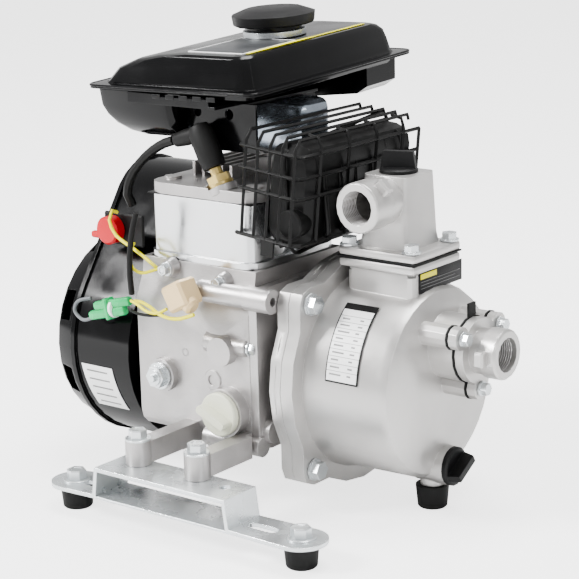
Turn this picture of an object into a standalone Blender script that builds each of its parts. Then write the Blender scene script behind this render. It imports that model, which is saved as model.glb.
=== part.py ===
"""Portable water pump driven by a small petrol engine, as separate solids.

The crankshaft lies along X, with the recoil starter at -X and the pump at +X. The control side
(valve cover, oil filler, discharge port) faces -Y and +Z is up. Lengths below are in millimetres.
"""

import math

import bmesh
import bpy
from mathutils import Matrix, Vector

MM = 0.001
GAP = 0.3

# Driving dimensions
SHIFT = Vector((122.9, 18.32, 0.0))      # puts the middle of the bounding box over the origin
AXIS_Z = 96.0                           # crank and impeller height
FOOT_H = 17.0                           # rubber feet
FOOT_R = 12.5
CASING_R = 72.0                         # pump casing barrel
CASING_FACE = -62.0                     # front of the casing flange
CASING_FRONT = 9.0                      # front edge of the barrel
FLANGE_HALF = 74.0                      # square flange, half width
FLANGE_BULGE = 86.0                     # round part of the flange
BOLT_HALF = 62.0                        # casing bolts, half spacing
SUCTION_Z = 125.0
PORT_R = 18.3                           # 1 inch threaded ports
BORE_R = 12.5
TOWER_X = -27.0                         # centre line of the discharge
TOWER_BASE = 195.0                      # top of the discharge flange
TOWER_TOP = 247.0
PORT_Z = 229.5
BLOCK = (-209.0, -111.0, -66.0, 34.0)    # cylinder block, x0 x1 y0 y1
DECK_Z = 176.5                          # top of the crankcase
HEAD_Z = 225.0                          # underside of the cylinder head
BORE_X = -157.0                         # cylinder bore
DRUM_R = 82.0                           # fan housing
DRUM = (-281.0, -222.0)                 # fan housing, left and right
BRACKET_Y = -147.0                      # centre line of the front bracket
EAR_X = (-163.0, -107.0)                # mounting ears
CASE = (-214.0, -106.0)                 # crankcase, left wall and joint face
FILLER_AT = (-126.0, 72.0)               # oil filler, x and z
SWITCH_AT = (-253.5, 190.0)              # stop switch knob, x and z
PLUG_AT = (-145.0, -56.0, 234.5)        # spark plug seat
PLUG_LEAN = -26.0                       # degrees, top towards -X
TANK_RIM = (-263.0, -101.0, -71.5, 129.5)  # tank flange, x0 x1 y0 y1
TANK_Z = 305.0                          # height of the flange at its front edge
TANK_TOP = (-146.0, 22.0)               # middle of the flat top
CAP_AT = (-160.0, 32.0)                 # filler neck
TANK_TILT = 2.6                         # degrees, rising towards +Y
TANK_ROLL = -1.3                        # degrees, rising towards +X
MUFFLER_AT = (-88.0, 231.0)              # muffler centre, x and z
MUFFLER_TILT = 6.0                      # degrees, right side lower

MATERIALS = {
    "cast": ((0.62, 0.61, 0.59), 0.42, 0.9),
    "satin": ((0.80, 0.79, 0.77), 0.35, 0.9),
    "polished": ((0.86, 0.87, 0.88), 0.16, 1.0),
    "zinc": ((0.72, 0.76, 0.80), 0.25, 1.0),
    "steel": ((0.55, 0.55, 0.56), 0.35, 1.0),
    "gloss_black": ((0.012, 0.011, 0.011), 0.12, 0.0),
    "matt_black": ((0.02, 0.02, 0.021), 0.55, 0.0),
    "soot": ((0.03, 0.03, 0.031), 0.5, 0.3),
    "rubber": ((0.03, 0.03, 0.032), 0.7, 0.0),
    "red": ((0.82, 0.05, 0.03), 0.35, 0.0),
    "yellow": ((0.85, 0.75, 0.04), 0.4, 0.0),
    "green": ((0.02, 0.45, 0.10), 0.3, 0.0),
    "cream": ((0.80, 0.78, 0.66), 0.45, 0.0),
    "brass": ((0.72, 0.58, 0.38), 0.3, 1.0),
}


def clear_scene():
    for obj in list(bpy.data.objects):
        bpy.data.objects.remove(obj, do_unlink=True)


def material(slot, owner):
    colour, roughness, metallic = MATERIALS[slot]
    made = bpy.data.materials.new(f"{owner}_{slot}")
    made.use_nodes = True
    shader = made.node_tree.nodes["Principled BSDF"]
    shader.inputs["Base Color"].default_value = (*colour, 1.0)
    shader.inputs["Roughness"].default_value = roughness
    shader.inputs["Metallic"].default_value = metallic
    return made


def place(axis, along, u, v):
    """The point at `along` on the axis and (u, v) across it, in alphabetical order."""
    return {"X": (along, u, v), "Y": (u, along, v), "Z": (u, v, along)}[axis]


def body(bm):
    """A loose object from a bmesh drawn in millimetres."""
    bmesh.ops.recalc_face_normals(bm, faces=bm.faces)
    bmesh.ops.scale(bm, vec=(MM, MM, MM), verts=bm.verts)
    mesh = bpy.data.meshes.new("shape")
    bm.to_mesh(mesh)
    bm.free()
    obj = bpy.data.objects.new("shape", mesh)
    bpy.context.scene.collection.objects.link(obj)
    return obj


def skin(bm, rings, closed=False):
    """Faces between successive rings of vertices, capped at both ends unless closed."""
    pairs = list(zip(rings, rings[1:]))
    if closed:
        pairs.append((rings[-1], rings[0]))
    for low, high in pairs:
        count = max(len(low), len(high))
        if count == 1:
            continue
        for i in range(count):
            j = (i + 1) % count
            corners = [low[i % len(low)], low[j % len(low)], high[j % len(high)], high[i % len(high)]]
            bm.faces.new(list(dict.fromkeys(corners)))
    if not closed:
        for ring in (rings[0], rings[-1]):
            if len(ring) > 2:
                bm.faces.new(ring)


def turned(profile, axis="X", centre=(0.0, AXIS_Z), sides=20, ring=False, phase=0.0):
    """A turned solid from (along, radius) points; ring=True closes the profile on itself."""
    bm = bmesh.new()
    rings = []
    for along, radius in profile:
        if radius == 0.0:
            rings.append([bm.verts.new(place(axis, along, *centre))])
            continue
        loop = []
        for i in range(sides):
            angle = phase + 2.0 * math.pi * i / sides
            u = centre[0] + radius * math.cos(angle)
            v = centre[1] + radius * math.sin(angle)
            loop.append(bm.verts.new(place(axis, along, u, v)))
        rings.append(loop)
    skin(bm, rings, closed=ring)
    return body(bm)


def rod(axis, centre, radius, start, end, sides=16, phase=0.0):
    return turned([(start, radius), (end, radius)], axis, centre, sides, phase=phase)


def prism(outline, axis, start, end):
    bm = bmesh.new()
    rings = [[bm.verts.new(place(axis, along, u, v)) for u, v in outline] for along in (start, end)]
    skin(bm, rings)
    return body(bm)


def block(x0, x1, y0, y1, z0, z1, bevel=0.0, steps=2):
    bm = bmesh.new()
    bmesh.ops.create_cube(bm, size=1.0)
    bmesh.ops.scale(bm, vec=(x1 - x0, y1 - y0, z1 - z0), verts=bm.verts)
    bmesh.ops.translate(bm, vec=((x0 + x1) / 2, (y0 + y1) / 2, (z0 + z1) / 2), verts=bm.verts)
    if bevel:
        bmesh.ops.bevel(bm, geom=bm.edges[:], offset=bevel, segments=steps, affect="EDGES", profile=0.5)
    return body(bm)


def loft(levels, axis="Z", closed=False):
    """A solid through outlines at successive stations, given as (along, outline)."""
    bm = bmesh.new()
    rings = [[bm.verts.new(place(axis, along, u, v)) for u, v in outline] for along, outline in levels]
    skin(bm, rings, closed)
    return body(bm)


def arc(cu, cv, radius, start, end, steps):
    """Points on an arc, with the angles in degrees."""
    points = []
    for i in range(steps + 1):
        angle = math.radians(start + (end - start) * i / steps)
        points.append((cu + radius * math.cos(angle), cv + radius * math.sin(angle)))
    return points


def rounded(cu, cv, half_u, half_v, radius, steps=3):
    """A rectangle with round corners."""
    points = []
    for k, (su, sv) in enumerate(((1, 1), (-1, 1), (-1, -1), (1, -1))):
        corner = (cu + su * (half_u - radius), cv + sv * (half_v - radius))
        points += arc(*corner, radius, 90 * k, 90 * k + 90, steps)
    return points


def hull(points):
    """The convex outline round a set of points."""
    ordered = sorted(set(points))

    def chain(items):
        kept = []
        for p in items:
            while len(kept) > 1:
                (ax, ay), (bx, by) = kept[-2], kept[-1]
                if (bx - ax) * (p[1] - ay) - (by - ay) * (p[0] - ax) > 1e-9:
                    break
                kept.pop()
            kept.append(p)
        return kept[:-1]

    return chain(ordered) + chain(ordered[::-1])


def tube(route, radius, resolution=2):
    """A round wire along smooth points, with closed ends."""
    curve = bpy.data.curves.new("wire", "CURVE")
    curve.dimensions = "3D"
    curve.bevel_depth = radius * MM
    curve.bevel_resolution = resolution
    curve.use_fill_caps = True
    spline = curve.splines.new("POLY")
    spline.points.add(len(route) - 1)
    for point, place_mm in zip(spline.points, route):
        point.co = (*(Vector(place_mm) * MM), 1.0)
    obj = bpy.data.objects.new("wire", curve)
    bpy.context.scene.collection.objects.link(obj)
    return obj


def smooth_route(knots, spacing):
    """Evenly spread points on a smooth curve through the knots."""
    pts = [Vector(k) for k in knots]
    pts = [2 * pts[0] - pts[1]] + pts + [2 * pts[-1] - pts[-2]]
    route = []
    for a, b, c, d in zip(pts, pts[1:], pts[2:], pts[3:]):
        count = max(1, round((c - b).length / spacing))
        for i in range(count):
            t = i / count
            point = 2 * b + (c - a) * t + (2 * a - 5 * b + 4 * c - d) * t ** 2 + (3 * b - a - 3 * c + d) * t ** 3
            route.append(point / 2)
    return route + [pts[-2]]


def merge(base, *tools, cut=False, self_cross=False):
    """Join tools to the base, or cut them out of it, and apply the result."""
    for tool in tools:
        change = base.modifiers.new("join", "BOOLEAN")
        change.operation = "DIFFERENCE" if cut else "UNION"
        change.solver = "EXACT"
        change.use_self = self_cross
        change.object = tool
    bpy.context.view_layer.update()
    graph = bpy.context.evaluated_depsgraph_get()
    mesh = bpy.data.meshes.new_from_object(base.evaluated_get(graph))
    base.modifiers.clear()
    base.data = mesh
    for tool in tools:
        bpy.data.objects.remove(tool, do_unlink=True)
    return base


def carve(base, *tools):
    return merge(base, *tools, cut=True)


def turn(obj, degrees, axis, pivot):
    """Turn a loose shape about a point."""
    centre = Vector(pivot) * MM
    move = Matrix.Translation(centre) @ Matrix.Rotation(math.radians(degrees), 4, axis)
    obj.data.transform(move @ Matrix.Translation(-centre))
    return obj


def finish(name, obj, slot, pivot=(0.0, 0.0, 0.0), smooth=35.0):
    """Name a part, give it its material and put its origin on its pivot."""
    obj.name = name
    obj.data.name = name
    obj.data.materials.clear()
    obj.data.materials.append(material(slot, name))
    origin = Vector(pivot) * MM
    obj.data.transform(Matrix.Translation(-origin))
    obj.location = origin + SHIFT * MM
    if isinstance(obj.data, bpy.types.Mesh):
        obj.data.shade_smooth()
        obj.data.set_sharp_from_angle(angle=math.radians(smooth))
    return obj


def hex_bolt(axis, centre, seat, across=10.0, head=5.0, shank=3.0, depth=8.0, out=1.0):
    """A flanged hexagon bolt whose washer face is at `seat` and whose head points `out`."""
    washer = seat + out * 1.5
    shape = turned([(seat - out * depth, shank), (seat, shank), (seat, across * 0.72), (washer, across * 0.72),
                    (washer, across * 0.5)], axis, centre, 8)
    crown = rod(axis, centre, across / math.sqrt(3.0), washer - out * 0.5, washer + out * head, 6)
    return merge(shape, crown)


# ---------------------------------------------------------------- pump

def flange_outline(grow=0.0):
    """Square flange with round corners that bulges to a circle between its four ears."""
    half = FLANGE_HALF + grow
    corners = rounded(0.0, AXIS_Z, half, half, 12.0, 2)
    inside = FLANGE_BULGE + grow
    limit = math.sqrt(inside ** 2 - half ** 2)
    points = []
    for k in range(4):
        points += corners[3 * k:3 * k + 3]
        middle = 90.0 * (k + 1)
        spread = math.degrees(math.asin(limit / inside))
        points += arc(0.0, AXIS_Z, inside, middle - spread, middle + spread, 4)
    return points


def bolt_circle():
    """The four casing bolts, as (y, z)."""
    return [(sy * BOLT_HALF, AXIS_Z + sz * BOLT_HALF) for sy in (-1, 1) for sz in (1, -1)]


def suction_bolts():
    """The three suction flange bolts, as (y, z)."""
    return arc(0.0, SUCTION_Z, 28.0, 30.0, 270.0, 2)


def lobes(start, end, core, lobe):
    """Round boss with a lobe round each suction bolt."""
    shape = rod("X", (0.0, SUCTION_Z), core, start, end, 20)
    ears = [rod("X", at, lobe, start, end, 12) for at in suction_bolts()]
    return merge(shape, *ears)


def pump_casing():
    back = CASING_FACE - 10.3
    shape = turned([(back + 1.0, 0.0), (back + 1.0, CASING_R + 2), (CASING_FACE + 3, CASING_R + 2),
                    (CASING_FACE + 8, CASING_R), (CASING_FRONT - 8, CASING_R - 1), (CASING_FRONT - 2, CASING_R - 4),
                    (CASING_FRONT + 1, CASING_R - 11), (CASING_FRONT + 4, 34.0), (CASING_FRONT + 5, 0.0)], sides=36)
    flange = prism(flange_outline(), "X", back, CASING_FACE)
    neck = block(TOWER_X - 29, TOWER_X + 29, -26, 26, 130, 184, 5)
    pad = block(TOWER_X - 33, TOWER_X + 33, -30, 30, 180, 187, 2.5)
    boss = lobes(-4.0, 33.0, 24.0, 8.5)
    drain = rod("X", (0.0, 34.0), 14.5, -10.0, 17.0, 16)
    stud = rod("Z", (0.0, 0.0), 9.0, FOOT_H + GAP, 32.0, 14)
    merge(shape, flange, neck, pad, boss, drain, stud)
    hollow = turned([(back - 1, 0.0), (back - 1, 64.5), (CASING_FRONT - 14, 64.0), (CASING_FRONT - 6, 56.0),
                     (CASING_FRONT - 3, 0.0)], sides=26)
    bores = [rod("Z", (TOWER_X, 0.0), 18.0, 120, 190), rod("X", (0.0, SUCTION_Z), 19.0, -20, 34),
             rod("X", (0.0, 34.0), 8.0, -20, 20, 12)]
    bores += [rod("X", at, 3.4, back - 1, CASING_FACE + 1, 8) for at in bolt_circle()]
    bores += [rod("X", at, 2.9, 20, 34, 8) for at in suction_bolts()]
    bores += [rod("Z", at, 3.4, 177, 188, 8) for at in discharge_bolts()]
    return finish("pump_casing", carve(shape, hollow, *bores), "satin")


def pump_back_plate():
    front = CASING_FACE - 10.6
    shape = prism(flange_outline(), "X", front - 9.7, front)
    boss = turned([(front - 19.4, FLANGE_BULGE - 16), (front - 17.4, FLANGE_BULGE - 14), (front - 5, FLANGE_BULGE)],
                  sides=32)
    merge(shape, boss)
    holes = [rod("X", at, 3.4, front - 20, front + 1, 8) for at in bolt_circle()]
    return finish("pump_back_plate", carve(shape, rod("X", (0.0, AXIS_Z), 12.0, front - 20, front + 1), *holes), "satin")


def volute_and_impeller():
    wall = turned([(-72.2, 60.0), (-40.0, 57.0), (-35.0, 50.0), (-33.0, 18.0), (-37.0, 18.0), (-39.0, 47.0),
                   (-43.0, 51.5), (-72.2, 52.0)], sides=20, ring=True)
    window = block(TOWER_X - 30, TOWER_X + 4, -12, 12, 140, 160)
    finish("volute_housing", carve(wall, window), "cast")
    disc = turned([(-68.0, 10.3), (-68.0, 15.0), (-64.0, 45.0), (-61.0, 45.0), (-58.0, 18.0), (-50.0, 15.0),
                   (-50.0, 10.3)], sides=20, ring=True)
    vanes = []
    for k in range(5):
        vane = block(-62.0, -46.0, 16.0, 45.0, AXIS_Z - 1.5, AXIS_Z + 1.5)
        turn(vane, -28.0, "X", (0.0, 16.0, AXIS_Z))
        vanes.append(turn(vane, 72.0 * k, "X", (0.0, 0.0, AXIS_Z)))
    finish("impeller", merge(disc, *vanes), "cast", (-60.0, 0.0, AXIS_Z))


def discharge_bolts():
    """The four discharge flange bolts, as (x, y)."""
    return [(TOWER_X + sx * 27.0, sy * 24.0) for sx in (-1, 1) for sy in (-1, 1)]


def discharge_elbow():
    base = block(TOWER_X - 33, TOWER_X + 33, -30, 30, 188.2, TOWER_BASE, 2.0)
    tower = loft([(TOWER_BASE - 2, rounded(TOWER_X, 0, 22, 22, 5, 3)), (TOWER_BASE + 8, rounded(TOWER_X, 0, 20.5, 20.5, 5, 3)),
                  (TOWER_TOP, rounded(TOWER_X, 0, 18.5, 18.5, 4, 3))])
    port = turned([(0.0, 17.0), (-30.0, 17.0), (-32.0, PORT_R), (-51.0, PORT_R), (-52.0, PORT_R - 1)],
                  "Y", (TOWER_X, PORT_Z))
    lugs = []
    for angle in (45.0, 225.0):
        lug = block(TOWER_X + 14, TOWER_X + 24, -43, -35, PORT_Z - 6, PORT_Z + 6, 1.5, 1)
        lugs.append(turn(lug, -angle, "Y", (TOWER_X, 0.0, PORT_Z)))
    merge(base, tower, port, *lugs)
    bores = [rod("Z", (TOWER_X, 0.0), 15.0, 187, 238), rod("Y", (TOWER_X, PORT_Z), BORE_R, -53, 0),
             rod("Z", (TOWER_X, 0.0), 13.0, 230, 240, 16), rod("Z", (TOWER_X, 0.0), 11.0, 230, 248, 16)]
    bores += [rod("Z", at, 3.4, 187, 196, 8) for at in discharge_bolts()]
    finish("discharge_elbow", carve(base, *bores), "satin")
    for k, at in enumerate(discharge_bolts(), 1):
        finish(f"discharge_bolt_{k}", hex_bolt("Z", at, TOWER_BASE + GAP, 10, 4.5, depth=15), "zinc", (*at, 0.0))


def winged_plug(axis, centre, seat, stem, disc, wing, out=1.0):
    """A black screw plug with a finger wing across its face."""
    shape = turned([(seat - out * stem[1], stem[0]), (seat, stem[0]), (seat, disc[0]), (seat + out * disc[1], disc[0]),
                    (seat + out * (disc[1] + 1), disc[0] - 2)], axis, centre, 18)
    top = seat + out * (disc[1] + 1)
    half_w, half_t, height = wing
    outline = [(-half_w, 0.0), (-half_w + 2, height), (half_w - 2, height), (half_w, 0.0)]
    bm = bmesh.new()
    rings = []
    for side in (-half_t, half_t):
        ring = []
        for u, h in outline:
            lift = top + out * (h if h else -1.0)
            across = (centre[0] + u, centre[1] + side) if axis == "Z" else (centre[0] + side, centre[1] + u)
            ring.append(bm.verts.new(place(axis, lift, *across)))
        rings.append(ring)
    skin(bm, rings)
    return merge(shape, body(bm))


def plugs():
    priming = winged_plug("Z", (TOWER_X, 0.0), TOWER_TOP + GAP, (10.5, 6.5), (14.0, 2.0), (13.0, 2.6, 12.0))
    finish("priming_plug", turn(priming, 20.0, "Z", (TOWER_X, 0.0, 0.0)), "matt_black", (TOWER_X, 0.0, TOWER_TOP))
    drain = winged_plug("X", (0.0, 34.0), 17.0 + GAP, (7.5, 20.0), (14.5, 3.0), (13.0, 2.8, 9.0))
    finish("drain_plug", turn(drain, -60.0, "X", (0.0, 0.0, 34.0)), "matt_black", (18.0, 0.0, 34.0))


def suction_parts():
    plate = lobes(35.2, 42.0, 24.0, 8.5)
    port = turned([(38.0, 16.5), (50.0, 16.5), (51.0, PORT_R), (62.5, PORT_R), (64.0, PORT_R - 1.3)], "X",
                  (0.0, SUCTION_Z))
    lugs = []
    for angle in (0.0, 180.0):
        lug = block(50, 58, 14, 24, SUCTION_Z - 6, SUCTION_Z + 6, 1.5, 1)
        lugs.append(turn(lug, angle, "X", (0.0, 0.0, SUCTION_Z)))
    merge(plate, port, *lugs)
    holes = [rod("X", at, 2.9, 34, 43, 8) for at in suction_bolts()]
    finish("suction_flange", carve(plate, rod("X", (0.0, SUCTION_Z), BORE_R, 34, 66), *holes), "satin")
    gasket = lobes(33.3, 34.9, 24.6, 9.1)
    tab = block(33.3, 34.9, -4.5, 4.5, SUCTION_Z + 20, SUCTION_Z + 34)
    merge(gasket, tab)
    holes = [rod("X", at, 2.9, 32, 36, 8) for at in suction_bolts()]
    finish("suction_gasket", carve(gasket, rod("X", (0.0, SUCTION_Z), 17.0, 32, 36), *holes), "rubber")
    for k, at in enumerate(suction_bolts(), 1):
        finish(f"suction_bolt_{k}", hex_bolt("X", at, 42.0 + GAP, 8, 4.5, 2.6, 20), "zinc", (42.0, *at))
    flap = rod("X", (0.0, SUCTION_Z), 16.0, 28.5, 31.5, 16)
    hinge = block(28.5, 31.5, -6, 6, SUCTION_Z + 8, SUCTION_Z + 16.8)
    finish("check_flap", merge(flap, hinge), "rubber", (30.0, 0.0, SUCTION_Z + 17.0))


def casing_bolts():
    for k, at in enumerate(bolt_circle(), 1):
        bolt = hex_bolt("X", at, CASING_FACE + GAP, 12, 6.0, 3.0, 28)
        finish(f"casing_bolt_{k}", bolt, "zinc", (CASING_FACE, *at))


# ---------------------------------------------------------------- engine

def crankcase():
    outline = ([(-56.0, 44.0)] + arc(-64, 58, 14, 270, 180, 3) + [(-78.0, 146.0), (-70.0, 164.0), (-68.0, DECK_Z),
               (36.0, DECK_Z), (36.0, 164.0), (62.0, 140.0)] + arc(50, 60, 16, 0, -90, 3))
    shape = prism(outline, "X", *CASE)
    parts = []
    for x in EAR_X:
        parts.append(rod("Z", (x, -139.0), 9.5, 41.5, 60.0, 16))
        parts.append(block(x - 6.5, x + 6.5, -139, -85, 41.5, 58))
        parts.append(block(x - 6.5, min(x + 6.5, CASE[1]), -86, -60, 41.5, 58))
    parts.append(rod("Y", FILLER_AT, 18.5, -88.0, -60.0, 20))
    parts.append(rod("Y", (-188.0, 90.0), 13.0, -84.0, -60.0, 16))
    parts.append(rod("Y", (-128.0, 118.0), 11.0, -87.0, -60.0, 16))
    parts.append(rod("Y", (-165.0, 46.0), 8.5, -90.0, -60.0, 14))
    parts.append(rod("X", (-76.0, 48.0), 7.5, -150.0, CASE[1], 14))
    parts.append(rod("X", (-78.0, 160.0), 8.0, -150.0, CASE[1], 14))
    parts.append(rod("X", (0.0, AXIS_Z), 26.0, -219.0, -213.0, 20))
    parts += [rod("Z", (x, 62.0), 9.5, 41.5, 60.0, 14) for x in (EAR_X[0], -117.0)]
    merge(shape, *parts)
    room = rod("X", (0.0, AXIS_Z), 40.0, -188.0, CASE[1] + 1, 20)
    bores = [rod("Z", (BORE_X, 0.0), 24.0, 110.0, 180.0, 20), rod("X", (0.0, AXIS_Z), 11.5, -220, -180, 16),
             rod("Y", FILLER_AT, 10.0, -90.0, -50.0, 16)]
    bores += [rod("Z", (x, -139.0), 3.4, 40, 61, 8) for x in EAR_X]
    return finish("crankcase", carve(shape, room, *bores), "cast")


def side_cover():
    outline = ([(-56.0, 44.0)] + arc(-64, 58, 14, 270, 180, 3) + [(-78.0, 156.0), (-68.0, 166.0), (30.0, 166.0),
               (62.0, 140.0)] + arc(50, 60, 16, 0, -90, 3))
    joint = CASE[1] + GAP
    shape = prism(outline, "X", joint, joint + 7.0)
    nose = turned([(joint + 6.0, 60.0), (-97.0, 54.0), (-92.4, 54.0)], sides=26)
    parts = [nose, rod("X", (-78.0, 160.0), 9.0, joint, -83.0, 14), rod("X", (-76.0, 48.0), 7.5, joint, -97.0, 14),
             rod("X", (-66.0, 58.0), 9.0, joint, -93.0, 14), rod("X", (44.0, 158.0), 9.0, joint, -94.0, 14)]
    merge(shape, *parts)
    bores = [rod("X", (0.0, AXIS_Z), 11.5, -110, -90), rod("X", (-78.0, 160.0), 3.5, -92, -82, 8)]
    return finish("side_cover", carve(shape, *bores), "cast")


def crankshaft():
    shape = turned([(-284.0, 8.0), (-282.0, 10.0), (-176.0, 10.0), (-176.0, 28.0), (-169.0, 28.0), (-169.0, 10.0),
                    (-145.0, 10.0), (-145.0, 28.0), (-138.0, 28.0), (-138.0, 10.0), (-46.0, 10.0), (-44.0, 8.0)],
                   sides=16)
    return finish("crankshaft", shape, "steel", (-160.0, 0.0, AXIS_Z))


def flywheel_fan():
    disc = turned([(-272.0, 10.4), (-272.0, 70.0), (-262.0, 74.0), (-259.0, 74.0), (-256.0, 40.0), (-252.0, 22.0),
                   (-236.0, 18.0), (-236.0, 10.4)], sides=26, ring=True)
    blades = []
    for k in range(14):
        blade = block(-261.0, -238.0, 34.0, 71.0, AXIS_Z - 1.2, AXIS_Z + 1.2)
        turn(blade, 18.0, "X", (0.0, 34.0, AXIS_Z))
        blades.append(turn(blade, 360.0 / 14 * k, "X", (0.0, 0.0, AXIS_Z)))
    return finish("flywheel_fan", merge(disc, *blades), "cast", (-260.0, 0.0, AXIS_Z))


def housing_outline(inset):
    """Round fan drum that rises to a rounded shoulder beside the cylinder."""
    return hull(arc(0.0, AXIS_Z, DRUM_R - inset, 0, 360, 40) + arc(18.0, 186.0, 46.0 - inset, 0, 360, 28))


def fan_housing():
    left, right = DRUM
    shape = prism(housing_outline(0.0), "X", left, right)
    lip = prism(housing_outline(-2.0), "X", left, left + 4.0)
    merge(shape, lip)
    duct = prism(rounded(0.0, 205.0, 26.0, 18.0, 6.0), "X", right - 5, right + 1)
    inner = prism(housing_outline(2.0), "X", left + 2, right - 2)
    intake = rod("X", (0.0, AXIS_Z), 76.0, left - 1, left + 3, 40)
    shaft = rod("X", (0.0, AXIS_Z), 42.0, right - 5, right + 1)
    return finish("fan_housing", carve(shape, inner, intake, shaft, duct), "gloss_black")


def recoil_starter():
    face = DRUM[0] - GAP
    outer = [(face, 81.0), (face - 5, 80.5), (face - 19, 77.0), (face - 25, 70.0), (face - 27.5, 58.0),
             (face - 28.5, 0.0)]
    inner = [(face - 26.5, 0.0), (face - 25.5, 57.0), (face - 23.5, 68.5), (face - 18, 75.0), (face - 4, 78.5),
             (face, 78.5)]
    shell = turned(outer + inner, sides=32, ring=True)
    post = rod("X", (0.0, AXIS_Z), 7.0, face - 27.5, face - 8, 14)
    merge(shell, post)
    slots = []
    for k in range(8):
        slot = block(face - 17.2, face - 5.4, 62.0, 90.0, AXIS_Z - 12, AXIS_Z + 12)
        slots.append(turn(slot, 21.3 + 45.0 * k, "X", (0.0, 0.0, AXIS_Z)))
    for k in range(6):
        slot = block(face - 30, face - 24.6, 26.0, 50.0, AXIS_Z - 3, AXIS_Z + 3)
        slots.append(turn(slot, 60.0 * k + 11.7, "X", (0.0, 0.0, AXIS_Z)))
    finish("recoil_cover", carve(shell, *slots), "gloss_black")
    pulley = turned([(face - 24.0, 7.5), (face - 24.0, 32.0), (face - 21.0, 32.0), (face - 20.0, 26.0),
                     (face - 16.0, 26.0), (face - 15.0, 32.0), (face - 12.0, 32.0), (face - 12.0, 7.5)],
                    sides=18, ring=True)
    finish("recoil_pulley", pulley, "matt_black", (face - 18.0, 0.0, AXIS_Z))
    grip = turned([(0.0, 0.0), (0.0, 5.0), (3.0, 8.0), (10.0, 9.0), (14.0, 7.0), (15.0, 0.0)], "Y", (-300.0, 100.0))
    grip.data.transform(Matrix.Translation((0.0, 84.0 * MM, 0.0)))
    bar = block(-306.0, -294.0, 93.5, 103.5, 78.0, 122.0, 3.5)
    return finish("starter_grip", merge(grip, bar), "matt_black", (-300.0, 84.0, 100.0))


def cylinder_block():
    x0, x1, y0, y1 = BLOCK
    foot = prism(rounded((x0 + x1) / 2, (y0 + y1) / 2, (x1 - x0) / 2 + 3, (y1 - y0) / 2 + 2, 14), "Z",
                 DECK_Z + GAP, DECK_Z + 5)
    chest = prism(rounded((x0 + x1) / 2, y0 + 23, (x1 - x0) / 2, 23, 10), "Z", DECK_Z + 3, HEAD_Z - GAP)
    fins = [(DECK_Z + 3, 31.0)]
    for k in range(3):
        low = DECK_Z + 13 + 14.0 * k
        fins += [(low, 31.0), (low, 38.0), (low + 2.5, 38.0), (low + 2.5, 31.0)]
    barrel = turned(fins + [(HEAD_Z - GAP, 31.0)], "Z", (BORE_X, -4.0), 24)
    merge(foot, chest, barrel)
    bore = rod("Z", (BORE_X, 0.0), 22.0, DECK_Z - 2, HEAD_Z + 2, 20)
    return finish("cylinder_block", carve(foot, bore), "polished")


def cylinder_head():
    x0, x1, y0, y1 = BLOCK
    plate = prism(rounded((x0 + x1) / 2, (y0 + y1) / 2 - 1, (x1 - x0) / 2 + 1, (y1 - y0) / 2 - 1, 13), "Z",
                  HEAD_Z, HEAD_Z + 8.5)
    parts = [block(x0 + 14 + 9 * k, x0 + 16.5 + 9 * k, -30, 30, HEAD_Z + 6, HEAD_Z + 19) for k in range(5)]
    parts += [rod("Z", (x, y), 6.5, HEAD_Z + 6, HEAD_Z + 10.5, 14) for x in (x0 + 10, x1 - 10) for y in (-48, 22)]
    parts.append(leaning(rod("Z", PLUG_AT[:2], 11.0, HEAD_Z + 4, PLUG_AT[2] - GAP, 16)))
    merge(plate, *parts)
    bore = leaning(rod("Z", PLUG_AT[:2], 6.2, HEAD_Z + 2, HEAD_Z + 14, 12))
    seat = leaning(rod("Z", PLUG_AT[:2], 11.5, PLUG_AT[2] - GAP, PLUG_AT[2] + 9, 16))
    return finish("cylinder_head", carve(plate, bore, seat), "cast")


def leaning(obj):
    """Lean a shape with the spark plug, about the plug's seat."""
    return turn(obj, PLUG_LEAN, "Y", PLUG_AT)


def spark_plug():
    seat = PLUG_AT[2]
    shape = turned([(seat - 6, 5.0), (seat, 5.0), (seat, 9.5), (seat + 2.5, 9.5), (seat + 2.5, 5.0), (seat + 9, 5.0)],
                   "Z", PLUG_AT[:2], 16)
    nut = rod("Z", PLUG_AT[:2], 9.2, seat + 2, seat + 8, 6)
    neck = rod("Z", PLUG_AT[:2], 4.6, seat + 7, seat + 14, 12)
    return finish("spark_plug", leaning(merge(shape, nut, neck)), "brass", PLUG_AT)


def plug_cap_and_lead():
    low = PLUG_AT[2] + 14.5
    cap = turned([(low, 7.0), (low, 8.6), (low + 9, 9.6), (low + 27, 9.4), (low + 33, 7.0), (low + 35, 0.0)], "Z",
                 PLUG_AT[:2], 18)
    x, z = -163.2, 271.8
    boot = turned([(x - 25, 0.0), (x - 25, 5.2), (x - 15, 6.3), (x, 6.3), (x, 0.0)], "X", (PLUG_AT[1], z), 14)
    finish("plug_cap", merge(leaning(cap), turn(boot, -17.0, "Y", (x, 0.0, z))), "rubber", PLUG_AT)
    knots = [(-190.5, -55.5, 264.0), (-200, -55, 261), (-213, -55, 254), (-226, -55, 243.5), (-236, -55, 231),
             (-241, -54, 218), (-240, -50, 209)]
    finish("ht_lead", tube(smooth_route(knots, 9.0), 3.6), "rubber")


def muffler():
    x, z = MUFFLER_AT
    shell = loft([(-52.0, rounded(x, z, 15.0, 32.0, 10, 3)), (-46.0, rounded(x, z, 20.0, 38.0, 13, 3)),
                  (70.0, rounded(x, z, 20.0, 38.0, 13, 3)), (76.0, rounded(x, z, 15.0, 32.0, 10, 3))], "Y")
    seam = prism(rounded(x - 5, z, 1.2, 39.5, 1.0, 1), "Y", -50.0, 74.0)
    pipe = rod("Y", (x + 9, z - 17), 10.5, -58.0, -42.0, 18)
    merge(shell, seam, pipe)
    mouth = rod("Y", (x + 9, z - 17), 8.3, -59.0, -34.0, 18)
    return finish("muffler", turn(carve(shell, mouth), MUFFLER_TILT, "Y", (x, 0.0, z)), "soot")


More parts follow.
